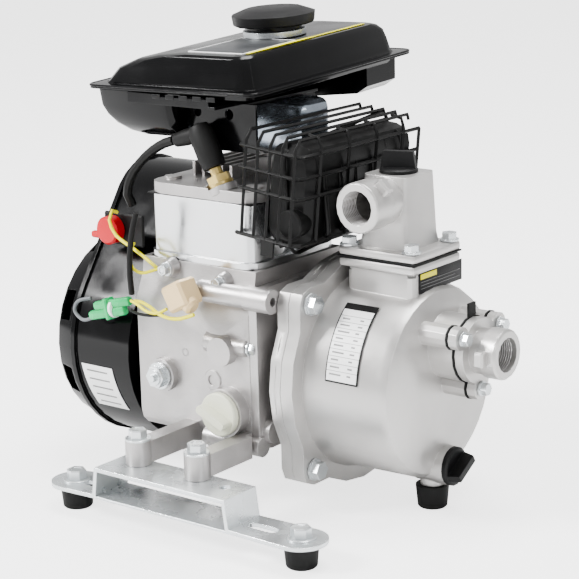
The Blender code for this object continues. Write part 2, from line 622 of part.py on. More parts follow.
def muffler_guard():
    left, right, front, back = -119.0, -65.0, -69.8, 77.0
    high, low = 278.0, 202.0
    corner = [(right, front + 6, 0), (right - 1.8, front + 1.8, 0), (right - 6, front, 0)]
    wires = []
    for z in (267.0, 251.0, 236.0):
        path = [(right, back, z)] + [(x, y, z) for x, y, _ in corner] + [(left, front, z)]
        wires.append(tube(path, 1.5, 0))
    for k in range(5):
        x = left + 5 + 11.0 * k
        wires.append(tube([(x, front, low), (x, front, high - 7), (x, front + 5, high),
                           (x, back - 10, high), (x, back - 8, high - 4)], 1.5, 0))
    for k in range(4):
        y = front + 24 + 34.0 * k
        wires.append(tube([(right, y, low), (right, y, high - 8), (right - 3, y, high - 1), (right - 12, y, high)],
                          1.5, 0))
    wires.append(tube([(right, back, low), (right, front + 6, low), (right - 6, front, low), (left, front, low)], 1.5, 0))
    wires.append(tube([(right, back, low), (right, back, 267.0)], 1.5, 0))
    graph_meshes = []
    for wire in wires:
        bpy.context.view_layer.update()
        graph = bpy.context.evaluated_depsgraph_get()
        mesh = bpy.data.meshes.new_from_object(wire.evaluated_get(graph))
        bpy.data.objects.remove(wire, do_unlink=True)
        piece = bpy.data.objects.new("wire", mesh)
        bpy.context.scene.collection.objects.link(piece)
        graph_meshes.append(piece)
    cage = merge(graph_meshes[0], *graph_meshes[1:])
    foot = block(-95, -84, front - 1, front + 0.8, 190, 204)
    merge(cage, foot)
    return finish("muffler_guard", turn(cage, MUFFLER_TILT, "Y", (MUFFLER_AT[0], 0.0, MUFFLER_AT[1])), "soot")


def head_cowl():
    shape = block(-172.0, -112.0, 2.0, 36.0, 247.0, 291.0, 8.0, 3)
    room = block(-170.4, -113.6, 3.6, 34.4, 235.0, 289.4, 7.0, 2)
    return finish("head_cowl", carve(shape, room), "steel")


def intake():
    body_tube = turned([(38.0, 9.0), (38.0, 14.0), (42.0, 14.0), (42.0, 12.0), (60.0, 12.0), (60.0, 15.0),
                        (66.0, 15.0), (66.0, 9.0)], "Y", (-160.0, 206.0), 16, ring=True)
    bowl = turned([(176.0, 0.0), (176.0, 10.0), (179.0, 12.5), (196.0, 12.5), (198.0, 0.0)], "Z", (-160.0, 51.0), 16)
    merge(body_tube, bowl)
    finish("carburettor", body_tube, "cast")
    case = block(-210.0, -132.0, 66.3, 104.0, 176.0, 240.0, 9.0, 3)
    room = block(-207.0, -135.0, 69.0, 101.0, 179.0, 237.0, 7.0, 3)
    mouth = rod("Y", (-160.0, 206.0), 9.0, 60, 80, 14)
    finish("air_filter_case", carve(case, room, mouth), "matt_black")
    lever = prism(hull(arc(-160.0, 51.0, 6.0, 0, 360, 16) + arc(-128.0, 51.0, 3.5, 0, 360, 12)), "Z", 219.0, 221.5)
    finish("throttle_lever", lever, "zinc", (-160.0, 51.0, 220.0))
    choke = prism(hull(arc(-182.0, 198.0, 4.5, 0, 360, 14) + arc(-182.0, 172.0, 3.0, 0, 360, 12)), "Y", 60.5, 63.5)
    knob = rod("Y", (-182.0, 172.0), 4.5, 52.0, 61.0, 12)
    finish("choke_lever", merge(choke, knob), "matt_black", (-182.0, 62.0, 198.0))


def tank_ring(inset, lift, corner):
    """One level of the tank, from its rim set in by (left, right, front, back), at a height over the rim."""
    x0, x1, y0, y1 = (edge + side * step for edge, side, step in zip(TANK_RIM, (1, -1, 1, -1), inset))
    return (TANK_Z + lift, rounded((x0 + x1) / 2, (y0 + y1) / 2, (x1 - x0) / 2, (y1 - y0) / 2, corner, 3))


def on_tank(obj):
    """Tilt a part of the level tank into place, about the flange's front right corner."""
    corner = (TANK_RIM[1], TANK_RIM[2], TANK_Z)
    return turn(turn(obj, TANK_TILT, "X", corner), TANK_ROLL, "Y", corner)


def fuel_tank():
    rim_out = [tank_ring((0,) * 4, 0.2, 9), tank_ring((0,) * 4, 1.4, 9), tank_ring((8,) * 4, 1.6, 13)]
    steps = [((11, 9, 8, 9), 4, 14), ((21, 10.5, 8.5, 11), 13, 14), ((40, 11.5, 9, 14), 20, 14),
             ((60, 13, 10, 19), 23.5, 13), ((80, 15, 12, 25), 25.3, 12), ((86, 20, 18, 32), 25.6, 10)]
    outside = rim_out + [tank_ring(*step) for step in steps]
    inside = [tank_ring([v + 1.6 for v in inset], lift - 1.5, corner) for inset, lift, corner in steps[::-1]]
    inside.append(tank_ring((11,) * 4, 0.2, 12))
    middle = [(TANK_Z + lift, [TANK_TOP]) for lift in (25.6, 24.1)]
    shell = loft(outside + middle + inside, closed=True)
    neck = rod("Z", CAP_AT, 21.0, TANK_Z + 22.0, TANK_Z + 36.4, 20)
    merge(shell, neck)
    upper = carve(shell, rod("Z", CAP_AT, 18.5, TANK_Z + 10, TANK_Z + 40, 20))
    finish("fuel_tank_upper", on_tank(upper), "gloss_black")
    tray = [tank_ring((0,) * 4, -0.1, 9), tank_ring((0,) * 4, -1.3, 9), tank_ring((8,) * 4, -1.5, 12),
            tank_ring((10,) * 4, -6.0, 12), (TANK_Z - 6.0, [TANK_TOP]), (TANK_Z - 4.6, [TANK_TOP]),
            tank_ring((11.5,) * 4, -4.6, 11), tank_ring((9,) * 4, -0.1, 11)]
    lower = loft(tray, closed=True)
    levels = [((3, 86, 7, 11), -3, 8), ((4, 86, 7, 11), -15, 9), ((7, 86, 8.5, 12), -22, 10),
              ((13, 86, 11, 14), -29, 11), ((22, 84, 16, 18), -35, 10), ((33, 94, 22, 24), -38.5, 6)]
    belly = loft([tank_ring(*level) for level in levels])
    wing = prism([(-196, TANK_Z - 3), (-196, TANK_Z - 33), (-122, TANK_Z - 26), (-112, TANK_Z - 20),
                  (-111, TANK_Z - 3)], "Y", 80, 118)
    merge(lower, belly, wing)
    room = loft([tank_ring([v + 1.6 for v in inset], lift + shift, corner)
                 for (inset, lift, corner), shift in zip(levels, (4.0, 0.0, 0.0, 0.5, 1.2, 1.6))])
    wing_room = prism([(-194.4, TANK_Z + 1), (-194.4, TANK_Z - 31), (-123, TANK_Z - 24.4), (-113.6, TANK_Z - 19),
                       (-112.8, TANK_Z + 1)], "Y", 81.6, 116.4)
    carve(lower, room, wing_room)
    finish("fuel_tank_lower", on_tank(lower), "gloss_black")
    base = TANK_Z + 37.0
    cap = turned([(base - 2.5, 21.6), (base - 2.5, 29.5), (base - 1.5, 31.0), (base + 5.5, 32.0), (base + 9.3, 22.0),
                  (base + 10.2, 0.0), (base, 0.0), (base, 21.6)], "Z", CAP_AT, 16, ring=True)
    finish("fuel_cap", on_tank(cap), "matt_black", cap_pivot(base))
    tap = prism(hull(arc(-160.0, 256.0, 5.0, 0, 360, 14) + arc(-182.0, 256.0, 3.0, 0, 360, 12)), "Y", 62.0, 65.0)
    stem = rod("Y", (-160.0, 256.0), 3.5, 64.0, 72.0, 10)
    finish("fuel_tap_lever", merge(tap, stem), "red", (-160.0, 63.0, 256.0))


def cap_pivot(base):
    """A point on the filler's tilted axis."""
    corner = Vector((TANK_RIM[1], TANK_RIM[2], TANK_Z))
    tilt = Matrix.Rotation(math.radians(TANK_TILT), 3, "X")
    roll = Matrix.Rotation(math.radians(TANK_ROLL), 3, "Y")
    return corner + roll @ tilt @ (Vector((*CAP_AT, base)) - corner)


def tank_bracket():
    front = block(-183.0, -121.0, -44.2, -42.2, 258.0, 294.0)
    top = block(-182.0, -131.0, -43.0, 44.0, 291.8, 294.0)
    leg = block(-182.0, -168.0, 42.0, 44.0, 226.0, 294.0)
    arm = block(-182.0, -140.0, -67.4, -43.0, 291.8, 294.0)
    strip = block(-224.0, -146.0, -67.4, -66.0, 291.8, 299.6)
    post = block(-154.0, -150.0, 42.2, 66.0, 246.0, 294.0)
    merge(front, top, leg, arm, strip, post)
    slots = [rod("Y", (-176.0, 285.0), 3.5, -46, -40, 10), rod("Y", (-146.0, 285.0), 4.0, -46, -40, 10)]
    return finish("tank_bracket", carve(front, *slots), "gloss_black")


def front_fittings():
    x, z = FILLER_AT
    cap = turned([(-70.0, 9.5), (-88.3, 9.5), (-88.3, 16.5), (-92.0, 16.5), (-93.0, 15.5)], "Y", FILLER_AT, 20)
    wing = prism(rounded(x, z, 13.5, 3.2, 2.0, 2), "Y", -102.0, -92.5)
    finish("oil_filler_cap", merge(cap, turn(wing, 25.0, "Y", (x, 0.0, z))), "cream", (x, -90.0, z))
    sensor = turned([(-84.3, 10.5), (-86.0, 10.5), (-86.0, 6.0), (-92.0, 6.0), (-92.0, 3.0), (-95.0, 3.0)], "Y",
                    (-188.0, 90.0), 20)
    nut = rod("Y", (-188.0, 90.0), 8.5, -91.0, -85.5, 6)
    finish("oil_level_switch", merge(sensor, nut), "zinc")
    base = block(-264.0, -224.0, -57.0, -54.0, 178.0, 203.0, 1.2, 1)
    post = rod("Y", (-250.0, 182.0), 4.0, -54.5, -43.8, 12)
    finish("stop_switch_base", merge(base, post), "matt_black")
    x, z = SWITCH_AT
    knob = turned([(-57.3, 11.0), (-65.0, 11.0), (-66.5, 9.5), (-67.0, 0.0), (-57.3, 0.0)], "Y", SWITCH_AT, 24)
    tab = block(x - 18.5, x - 8, -64.5, -59.0, z - 7.5, z - 2.5, 1.2, 1)
    finish("stop_switch_knob", merge(knob, tab), "red", (x, -62.0, z))
    cube = block(-162.5, -142.5, -106.5, -86.4, 150.0, 170.0, 2.0, 1)
    turn(cube, -28.0, "Y", (-152.5, 0.0, 160.0))
    plug = turned([(0.0, 6.5), (4.0, 6.5), (6.0, 4.5)], "X", (-99.0, 160.0), 12)
    plug.data.transform(Matrix.Translation((-143.0 * MM, 0.0, 0.0)))
    turn(plug, 30.0, "Y", (-152.5, 0.0, 160.0))
    finish("oil_alert_module", merge(cube, plug), "cream")


def wiring():
    upper = block(-246.0, -208.0, -93.0, -86.0, 137.5, 144.5, 2.4)
    lower = block(-252.0, -214.0, -94.0, -87.0, 131.0, 138.2, 2.4)
    tie = block(-233.0, -229.0, -95.5, -84.5, 129.5, 146.0, 1.0, 1)
    finish("wire_connectors", turn(merge(upper, lower, tie), -14.0, "Y", (-229.0, 0.0, 137.0)), "green")
    loop = [(-247, -59.5, 204), (-248.5, -64, 206), (-246, -70, 200), (-238, -72, 189.5), (-217, -74, 181),
            (-203, -76, 175.5), (-194, -78, 172), (-189, -76, 168)]
    finish("stop_wire", tube(smooth_route(loop, 6.0), 1.4), "yellow")
    lead = [(-205.5, -89.5, 146.5), (-198, -91, 147), (-187, -93, 145), (-176, -97, 142.5), (-162, -101, 142),
            (-149, -103, 144), (-137, -102, 148.5)]
    finish("sensor_wire", tube(smooth_route(lead, 6.0), 1.4), "yellow")


# ---------------------------------------------------------------- frame

def front_bracket():
    low, thick, width = FOOT_H + GAP, 3.0, 17.5
    left, right = -184.0, -62.0
    y0, y1 = BRACKET_Y - width, BRACKET_Y + width
    top = 38.3
    profile = [(left - 10, low), (right + 10, low), (right + 10, low + thick), (right + 3, low + thick),
               (right, top + thick), (left, top + thick), (left - 3, low + thick), (left - 10, low + thick)]
    shape = prism(profile, "Y", y0, y1)
    plates = []
    for tip, inner in ((-219.0, left - 8), (-9.0, right + 8)):
        outline = hull(arc(tip, BRACKET_Y, width + 1.5, 0, 360, 28) + [(inner, y0), (inner, y1)])
        plates.append(prism(outline, "Z", low, low + thick))
    merge(shape, *plates)
    tunnel = prism([(left, low + 2), (right, low + 2), (right - 2.5, top), (left + 2.5, top)], "Y", y0 - 1, y1 + 1)
    holes = [rod("Z", at, 3.4, low - 1, top + 5, 8) for at in ((-219.0, BRACKET_Y), (-9.0, BRACKET_Y))]
    holes += [rod("Z", (x, -139.0), 3.4, top - 2, top + 5, 8) for x in EAR_X]
    holes.append(rod("Z", (-78.0, BRACKET_Y + 4), 4.5, top - 2, top + 5, 12))
    holes.append(prism(rounded(-42.0, BRACKET_Y, 13.0, 4.5, 4.4, 4), "Z", low - 1, low + 5))
    holes.append(prism(rounded(-201.0, BRACKET_Y, 8.0, 4.5, 4.4, 4), "Z", low - 1, low + 5))
    return finish("front_bracket", carve(shape, tunnel, *holes), "zinc")


def rear_bracket():
    low = FOOT_H + GAP
    profile = [(-185.0, 38.2), (-95.0, 38.2), (-95.0, 41.2), (-185.0, 41.2)]
    shape = prism(profile, "Y", 54.0, 86.0)
    stem = block(-150.0, -120.0, 55.0, 85.0, low, 39.0)
    return finish("rear_bracket", merge(shape, stem), "zinc")


def feet():
    spots = {"foot_front_left": (-219.0, BRACKET_Y), "foot_front_right": (-9.0, BRACKET_Y),
             "foot_rear": (-135.0, 70.0), "pump_foot": (0.0, 0.0)}
    for name, at in spots.items():
        shape = turned([(0.0, FOOT_R - 2.5), (1.0, FOOT_R - 1.5), (FOOT_H, FOOT_R)], "Z", at, 18)
        finish(name, shape, "rubber", (*at, 0.0))


def main():
    clear_scene()
    pump_casing()
    pump_back_plate()
    volute_and_impeller()
    discharge_elbow()
    plugs()
    suction_parts()
    casing_bolts()
    crankcase()
    side_cover()
    crankshaft()
    flywheel_fan()
    fan_housing()
    recoil_starter()
    cylinder_block()
    cylinder_head()
    spark_plug()
    plug_cap_and_lead()
    muffler()
    muffler_guard()
    head_cowl()
    intake()
    fuel_tank()
    tank_bracket()
    front_fittings()
    wiring()
    front_bracket()
    rear_bracket()
    feet()


main()
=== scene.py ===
"""Looks of a portable petrol water pump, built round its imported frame.

Sizes are in millimetres from the crank line, and at() turns them into the shared frame.
"""
import logging
import math
from dataclasses import dataclass, field
from enum import Enum

import bmesh
import bpy
from mathutils import Matrix, Vector


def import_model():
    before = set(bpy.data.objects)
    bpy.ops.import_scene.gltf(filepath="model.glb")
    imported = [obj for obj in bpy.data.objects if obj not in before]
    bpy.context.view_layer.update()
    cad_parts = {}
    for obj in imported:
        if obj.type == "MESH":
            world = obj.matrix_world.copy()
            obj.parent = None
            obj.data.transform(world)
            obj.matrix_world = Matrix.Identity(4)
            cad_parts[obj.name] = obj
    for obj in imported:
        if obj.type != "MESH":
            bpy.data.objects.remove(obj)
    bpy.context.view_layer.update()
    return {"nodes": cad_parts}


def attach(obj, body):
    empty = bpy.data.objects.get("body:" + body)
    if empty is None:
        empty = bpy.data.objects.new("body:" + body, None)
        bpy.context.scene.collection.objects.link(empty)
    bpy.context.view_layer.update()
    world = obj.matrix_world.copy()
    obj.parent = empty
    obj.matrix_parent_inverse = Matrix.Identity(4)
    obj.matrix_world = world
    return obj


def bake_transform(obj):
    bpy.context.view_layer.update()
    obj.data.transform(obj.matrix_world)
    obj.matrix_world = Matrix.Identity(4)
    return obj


LOG = logging.getLogger("pump")
ORIGIN = (122.9, 18.32, 0.0)
MM = 0.001
AXIS_Z = 96.0
PATCH_SCALE = 38.0
PATCH_START = 0.36
PATCH_GAIN = 3.4
EDGE_RADIUS = 0.0007
EDGE_LIMIT = 0.985
EDGE_GAIN = 9.0
CHIP_SCALE = 420.0
CHIP_SHARE = 0.47
DUST_SCALE = 60.0
DUST_COLOUR = (0.55, 0.53, 0.5)
SHARP_ANGLE = 34.0
LABEL_STEPS = 16
Point = tuple[float, float, float]


class Axis(Enum):
    """The directions that turned pieces and screws point in."""

    RIGHT = (1, 0, 0)
    LEFT = (-1, 0, 0)
    FRONT = (0, -1, 0)
    BACK = (0, 1, 0)
    UP = (0, 0, 1)

    @property
    def vector(self) -> Vector:
        """Give the direction as a vector."""
        return Vector(self.value)


class Body(Enum):
    """The bodies of the frame that carry a dressed piece."""

    FRAME = "frame"
    STARTER_GRIP = "starter_handle"


def at(x: float, y: float, z: float) -> Vector:
    """Turn millimetres from the crank line into a point of the shared frame."""
    return Vector((x + ORIGIN[0], y + ORIGIN[1], z + ORIGIN[2])) * MM


def group_tree(name: str, inputs: dict[str, float], outputs: dict[str, str]) -> bpy.types.NodeTree:
    """Make an empty shader group with its sockets.

    Args:
        name: the group's name.
        inputs: each float input and its usual value.
        outputs: each output and its socket type.

    Returns:
        The group, with an input and an output node named "in" and "out".
    """
    tree = bpy.data.node_groups.new(name, "ShaderNodeTree")
    for label, value in inputs.items():
        tree.interface.new_socket(label, in_out="INPUT", socket_type="NodeSocketFloat").default_value = value
    for label, kind in outputs.items():
        tree.interface.new_socket(label, in_out="OUTPUT", socket_type=kind)
    tree.nodes.new("NodeGroupInput").name = "in"
    tree.nodes.new("NodeGroupOutput").name = "out"
    return tree


def math_node(
    tree: bpy.types.NodeTree, operation: str, first: object, second: object
) -> bpy.types.NodeSocket:
    """Add a Math node whose inputs are sockets or numbers.

    Args:
        tree: the tree that gets the node.
        operation: the Math node's operation.
        first: a socket or a number.
        second: a socket or a number.

    Returns:
        The node's output socket.
    """
    node = tree.nodes.new("ShaderNodeMath")
    node.operation = operation
    for slot, value in enumerate((first, second)):
        if isinstance(value, bpy.types.NodeSocket):
            tree.links.new(value, node.inputs[slot])
        else:
            node.inputs[slot].default_value = value
    return node.outputs[0]


@dataclass(frozen=True)
class Effects:
    """The shader groups that every finish shares."""

    grain: bpy.types.NodeTree
    edge: bpy.types.NodeTree
    dust: bpy.types.NodeTree

    @staticmethod
    def build() -> "Effects":
        """Build the three groups once."""
        return Effects(Effects._grain(), Effects._edge(), Effects._dust())

    @staticmethod
    def _noise(tree: bpy.types.NodeTree, scale: object, detail: float) -> bpy.types.NodeSocket:
        """Add a noise in the piece's own coordinates.

        Args:
            tree: the tree that gets the noise.
            scale: the noise's scale, a socket or a number.
            detail: how many octaves it has.

        Returns:
            The noise's value.
        """
        coords = tree.nodes.new("ShaderNodeTexCoord")
        noise = tree.nodes.new("ShaderNodeTexNoise")
        noise.inputs["Detail"].default_value = detail
        if isinstance(scale, bpy.types.NodeSocket):
            tree.links.new(scale, noise.inputs["Scale"])
        else:
            noise.inputs["Scale"].default_value = scale
        tree.links.new(coords.outputs["Object"], noise.inputs["Vector"])
        return noise.outputs["Fac"]

    @staticmethod
    def _grain() -> bpy.types.NodeTree:
        """Casting or moulding grain: a fine height and a broad patchiness."""
        tree = group_tree(
            "surface_grain", {"Scale": 900.0}, {"Height": "NodeSocketFloat", "Patches": "NodeSocketFloat"}
        )
        fine = Effects._noise(tree, tree.nodes["in"].outputs["Scale"], 3.0)
        broad = Effects._noise(tree, PATCH_SCALE, 4.0)
        height = math_node(tree, "MULTIPLY", broad, 0.35)
        tree.links.new(math_node(tree, "ADD", fine, height), tree.nodes["out"].inputs["Height"])
        spread = math_node(tree, "MULTIPLY", math_node(tree, "SUBTRACT", broad, PATCH_START), PATCH_GAIN)
        spread.node.use_clamp = True
        tree.links.new(spread, tree.nodes["out"].inputs["Patches"])
        return tree

    @staticmethod
    def _edge() -> bpy.types.NodeTree:
        """Rounded edges, and a broken-up mask of the wear along them."""
        tree = group_tree(
            "worn_edge", {"Wear": 0.5}, {"Mask": "NodeSocketFloat", "Normal": "NodeSocketVector"}
        )
        bevel = tree.nodes.new("ShaderNodeBevel")
        bevel.samples = 4
        bevel.inputs["Radius"].default_value = EDGE_RADIUS
        flat = tree.nodes.new("ShaderNodeNewGeometry")
        dot = tree.nodes.new("ShaderNodeVectorMath")
        dot.operation = "DOT_PRODUCT"
        tree.links.new(bevel.outputs[0], dot.inputs[0])
        tree.links.new(flat.outputs["Normal"], dot.inputs[1])
        past = math_node(tree, "SUBTRACT", EDGE_LIMIT, dot.outputs["Value"])
        turned_away = math_node(tree, "MULTIPLY", past, EDGE_GAIN)
        turned_away.node.use_clamp = True
        broken = math_node(tree, "GREATER_THAN", Effects._noise(tree, CHIP_SCALE, 4.0), CHIP_SHARE)
        worn = math_node(tree, "MULTIPLY", math_node(tree, "MULTIPLY", turned_away, broken),
                         tree.nodes["in"].outputs["Wear"])
        tree.links.new(worn, tree.nodes["out"].inputs["Mask"])
        tree.links.new(bevel.outputs[0], tree.nodes["out"].inputs["Normal"])
        return tree

    @staticmethod
    def _dust() -> bpy.types.NodeTree:
        """Dust that settles on faces that look up."""
        tree = group_tree("settled_dust", {"Amount": 0.2}, {"Mask": "NodeSocketFloat"})
        geometry = tree.nodes.new("ShaderNodeNewGeometry")
        split = tree.nodes.new("ShaderNodeSeparateXYZ")
        tree.links.new(geometry.outputs["Normal"], split.inputs[0])
        up = math_node(tree, "MAXIMUM", split.outputs["Z"], 0.0)
        patchy = math_node(tree, "MULTIPLY", up, Effects._noise(tree, DUST_SCALE, 5.0))
        amount = math_node(tree, "MULTIPLY", patchy, tree.nodes["in"].outputs["Amount"])
        tree.links.new(amount, tree.nodes["out"].inputs["Mask"])
        return tree


@dataclass(frozen=True)
class Finish:
    """One finish of the pump, and how it wears."""

    slot: str
    colour: Point
    metallic: float
    roughness: float
    grain: float = 900.0
    depth: float = 0.04
    patch: float = 0.1
    worn: Point = (0.8, 0.8, 0.8)
    wear: float = 0.25
    dust: float = 0.08
    gloss: float = 0.5

    def material(self, effects: Effects, name: str) -> bpy.types.Material:
        """Build the finish as a node material.

        Args:
            effects: the shared shader groups.
            name: the material's name.

        Returns:
            The material.
        """
        material = bpy.data.materials.new(name)
        material.use_nodes = True
        tree = material.node_tree
        shader = tree.nodes["Principled BSDF"]
        grain = self._placed(tree, effects.grain, "Scale", self.grain)
        edge = self._placed(tree, effects.edge, "Wear", self.wear)
        dust = self._placed(tree, effects.dust, "Amount", self.dust)
        darker = tuple(channel * (1.0 - self.patch) for channel in self.colour)
        base = self._mix(tree, grain.outputs["Patches"], darker, self.colour)
        worn = self._mix(tree, edge.outputs["Mask"], base, self.worn)
        dusty = self._mix(tree, dust.outputs["Mask"], worn, DUST_COLOUR)
        tree.links.new(dusty, shader.inputs["Base Color"])
        rough = math_node(tree, "MULTIPLY_ADD", grain.outputs["Patches"], 0.12)
        rough.node.inputs[2].default_value = self.roughness - 0.05
        tree.links.new(rough, shader.inputs["Roughness"])
        bump = tree.nodes.new("ShaderNodeBump")
        bump.inputs["Strength"].default_value = self.depth
        bump.inputs["Distance"].default_value = 0.001
        tree.links.new(grain.outputs["Height"], bump.inputs["Height"])
        tree.links.new(edge.outputs["Normal"], bump.inputs["Normal"])
        tree.links.new(bump.outputs["Normal"], shader.inputs["Normal"])
        shader.inputs["Metallic"].default_value = self.metallic
        shader.inputs["Specular IOR Level"].default_value = self.gloss
        return material

    @staticmethod
    def _placed(
        tree: bpy.types.NodeTree, group: bpy.types.NodeTree, label: str, value: float
    ) -> bpy.types.Node:
        """Place a shared group with its own value.

        Args:
            tree: the material's tree.
            group: the shared group.
            label: the input that takes the value.
            value: the value.

        Returns:
            The group's node.
        """
        node = tree.nodes.new("ShaderNodeGroup")
        node.node_tree = group
        node.inputs[label].default_value = value
        return node

    @staticmethod
    def _mix(
        tree: bpy.types.NodeTree, mask: bpy.types.NodeSocket, low: object, high: object
    ) -> bpy.types.NodeSocket:
        """Mix two colours by a mask.

        Args:
            tree: the tree that gets the node.
            mask: the mask's socket.
            low: the colour where the mask is 0, a socket or three numbers.
            high: the colour where the mask is 1, three numbers.

        Returns:
            The mixed colour.
        """
        node = tree.nodes.new("ShaderNodeMix")
        node.data_type = "RGBA"
        tree.links.new(mask, node.inputs["Factor"])
        for socket, value in ((node.inputs[6], low), (node.inputs[7], high)):
            if isinstance(value, bpy.types.NodeSocket):
                tree.links.new(value, socket)
            else:
                socket.default_value = (*value, 1.0)
        return node.outputs[2]


class Finishes:
    """Every finish of the pump, built on first use."""

    TABLE = {
        "satin": Finish(
            slot="satin", colour=(0.56, 0.55, 0.54), metallic=0.75, roughness=0.36,
            grain=1100.0, depth=0.1, patch=0.08, worn=(0.8, 0.8, 0.8), wear=0.3, dust=0.05,
        ),
        "cast": Finish(
            slot="cast", colour=(0.5, 0.485, 0.48), metallic=0.75, roughness=0.38,
            grain=800.0, depth=0.16, patch=0.16, worn=(0.8, 0.8, 0.8), wear=0.35, dust=0.1,
        ),
        "polished": Finish(
            slot="polished", colour=(0.68, 0.69, 0.7), metallic=0.95, roughness=0.2,
            grain=500.0, depth=0.04, patch=0.08, worn=(0.9, 0.9, 0.9), wear=0.3, dust=0.03,
        ),
        "zinc": Finish(
            slot="zinc", colour=(0.7, 0.73, 0.745), metallic=0.8, roughness=0.27,
            grain=700.0, depth=0.03, patch=0.12, worn=(0.9, 0.9, 0.9), wear=0.4, dust=0.05,
        ),
        "steel": Finish(
            slot="steel", colour=(0.42, 0.47, 0.53), metallic=0.9, roughness=0.25,
            grain=600.0, depth=0.03, patch=0.2, worn=(0.7, 0.7, 0.7), wear=0.3, dust=0.05,
        ),
        "brass": Finish(
            slot="brass", colour=(0.62, 0.48, 0.2), metallic=0.9, roughness=0.3,
            grain=700.0, depth=0.04, patch=0.2, worn=(0.9, 0.8, 0.5), wear=0.3, dust=0.03,
        ),
        "gloss_black": Finish(
            slot="gloss_black", colour=(0.004, 0.004, 0.0045), metallic=0.0, roughness=0.14,
            grain=120.0, depth=0.012, patch=0.2, worn=(0.02, 0.02, 0.021), wear=0.4, dust=0.0, gloss=0.3,
        ),
        "soot": Finish(
            slot="soot", colour=(0.006, 0.006, 0.006), metallic=0.0, roughness=0.4,
            grain=1200.0, depth=0.1, patch=0.3, worn=(0.04, 0.04, 0.04), wear=0.6, dust=0.01, gloss=0.3,
        ),
        "matt_black": Finish(
            slot="matt_black", colour=(0.007, 0.007, 0.0075), metallic=0.0, roughness=0.42,
            grain=1500.0, depth=0.14, patch=0.2, worn=(0.04, 0.04, 0.04), wear=0.4, dust=0.01, gloss=0.3,
        ),
        "rubber": Finish(
            slot="rubber", colour=(0.008, 0.008, 0.008), metallic=0.0, roughness=0.55,
            grain=1300.0, depth=0.1, patch=0.25, worn=(0.03, 0.03, 0.03), wear=0.3, dust=0.02, gloss=0.3,
        ),
        "red": Finish(
            slot="red", colour=(0.55, 0.012, 0.016), metallic=0.0, roughness=0.3,
            grain=900.0, depth=0.05, patch=0.12, worn=(0.7, 0.15, 0.12), wear=0.3, dust=0.02,
        ),
        "cream": Finish(
            slot="cream", colour=(0.72, 0.73, 0.6), metallic=0.0, roughness=0.38,
            grain=900.0, depth=0.05, patch=0.06, worn=(0.85, 0.85, 0.78), wear=0.3, dust=0.02,
        ),
        "tan": Finish(
            slot="cream", colour=(0.74, 0.56, 0.32), metallic=0.25, roughness=0.36,
            grain=900.0, depth=0.05, patch=0.12, worn=(0.9, 0.8, 0.6), wear=0.3, dust=0.02,
        ),
        "green": Finish(
            slot="green", colour=(0.03, 0.48, 0.16), metallic=0.0, roughness=0.25,
            grain=400.0, depth=0.04, patch=0.25, worn=(0.3, 0.8, 0.4), wear=0.3, dust=0.0,
        ),
        "yellow": Finish(
            slot="yellow", colour=(0.8, 0.74, 0.03), metallic=0.0, roughness=0.38,
            grain=900.0, depth=0.04, patch=0.1, worn=(0.9, 0.9, 0.4), wear=0.2, dust=0.0,
        ),
        "grey_wire": Finish(
            slot="rubber", colour=(0.16, 0.17, 0.18), metallic=0.0, roughness=0.5,
            grain=900.0, depth=0.05, patch=0.2, worn=(0.3, 0.3, 0.3), wear=0.2, dust=0.0,
        ),
        "paper": Finish(
            slot="cream", colour=(0.82, 0.82, 0.82), metallic=0.0, roughness=0.4,
            grain=900.0, depth=0.02, patch=0.03, worn=(0.9, 0.9, 0.9), wear=0.1, dust=0.0,
        ),
        "print_grey": Finish(
            slot="matt_black", colour=(0.28, 0.28, 0.28), metallic=0.0, roughness=0.5,
            grain=900.0, depth=0.02, patch=0.4, worn=(0.3, 0.3, 0.3), wear=0.1, dust=0.0,
        ),
        "decal": Finish(
            slot="matt_black", colour=(0.045, 0.047, 0.05), metallic=0.0, roughness=0.35,
            grain=900.0, depth=0.04, patch=0.15, worn=(0.2, 0.2, 0.2), wear=0.2, dust=0.0,
        ),
    }

    def __init__(self) -> None:
        """Build the shared shader groups."""
        self.effects = Effects.build()
        self.made: dict[str, bpy.types.Material] = {}

    def get(self, name: str) -> bpy.types.Material:
        """Give a finish's material, building it once.

        Args:
            name: a name of the finish table.

        Returns:
            The material.
        """
        if name not in self.made:
            self.made[name] = self.TABLE[name].material(self.effects, name)
        return self.made[name]


FINISHES: list[Finishes] = []


def dress(obj: bpy.types.Object, finish: str, body: Body = Body.FRAME) -> bpy.types.Object:
    """Give a piece its finish and the body that it rides on.

    Args:
        obj: the piece, already in place.
        finish: a name of the finish table.
        body: the body that carries it.

    Returns:
        The piece.
    """
    obj.data.materials.clear()
    obj.data.materials.append(FINISHES[0].get(finish))
    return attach(obj, body.value)


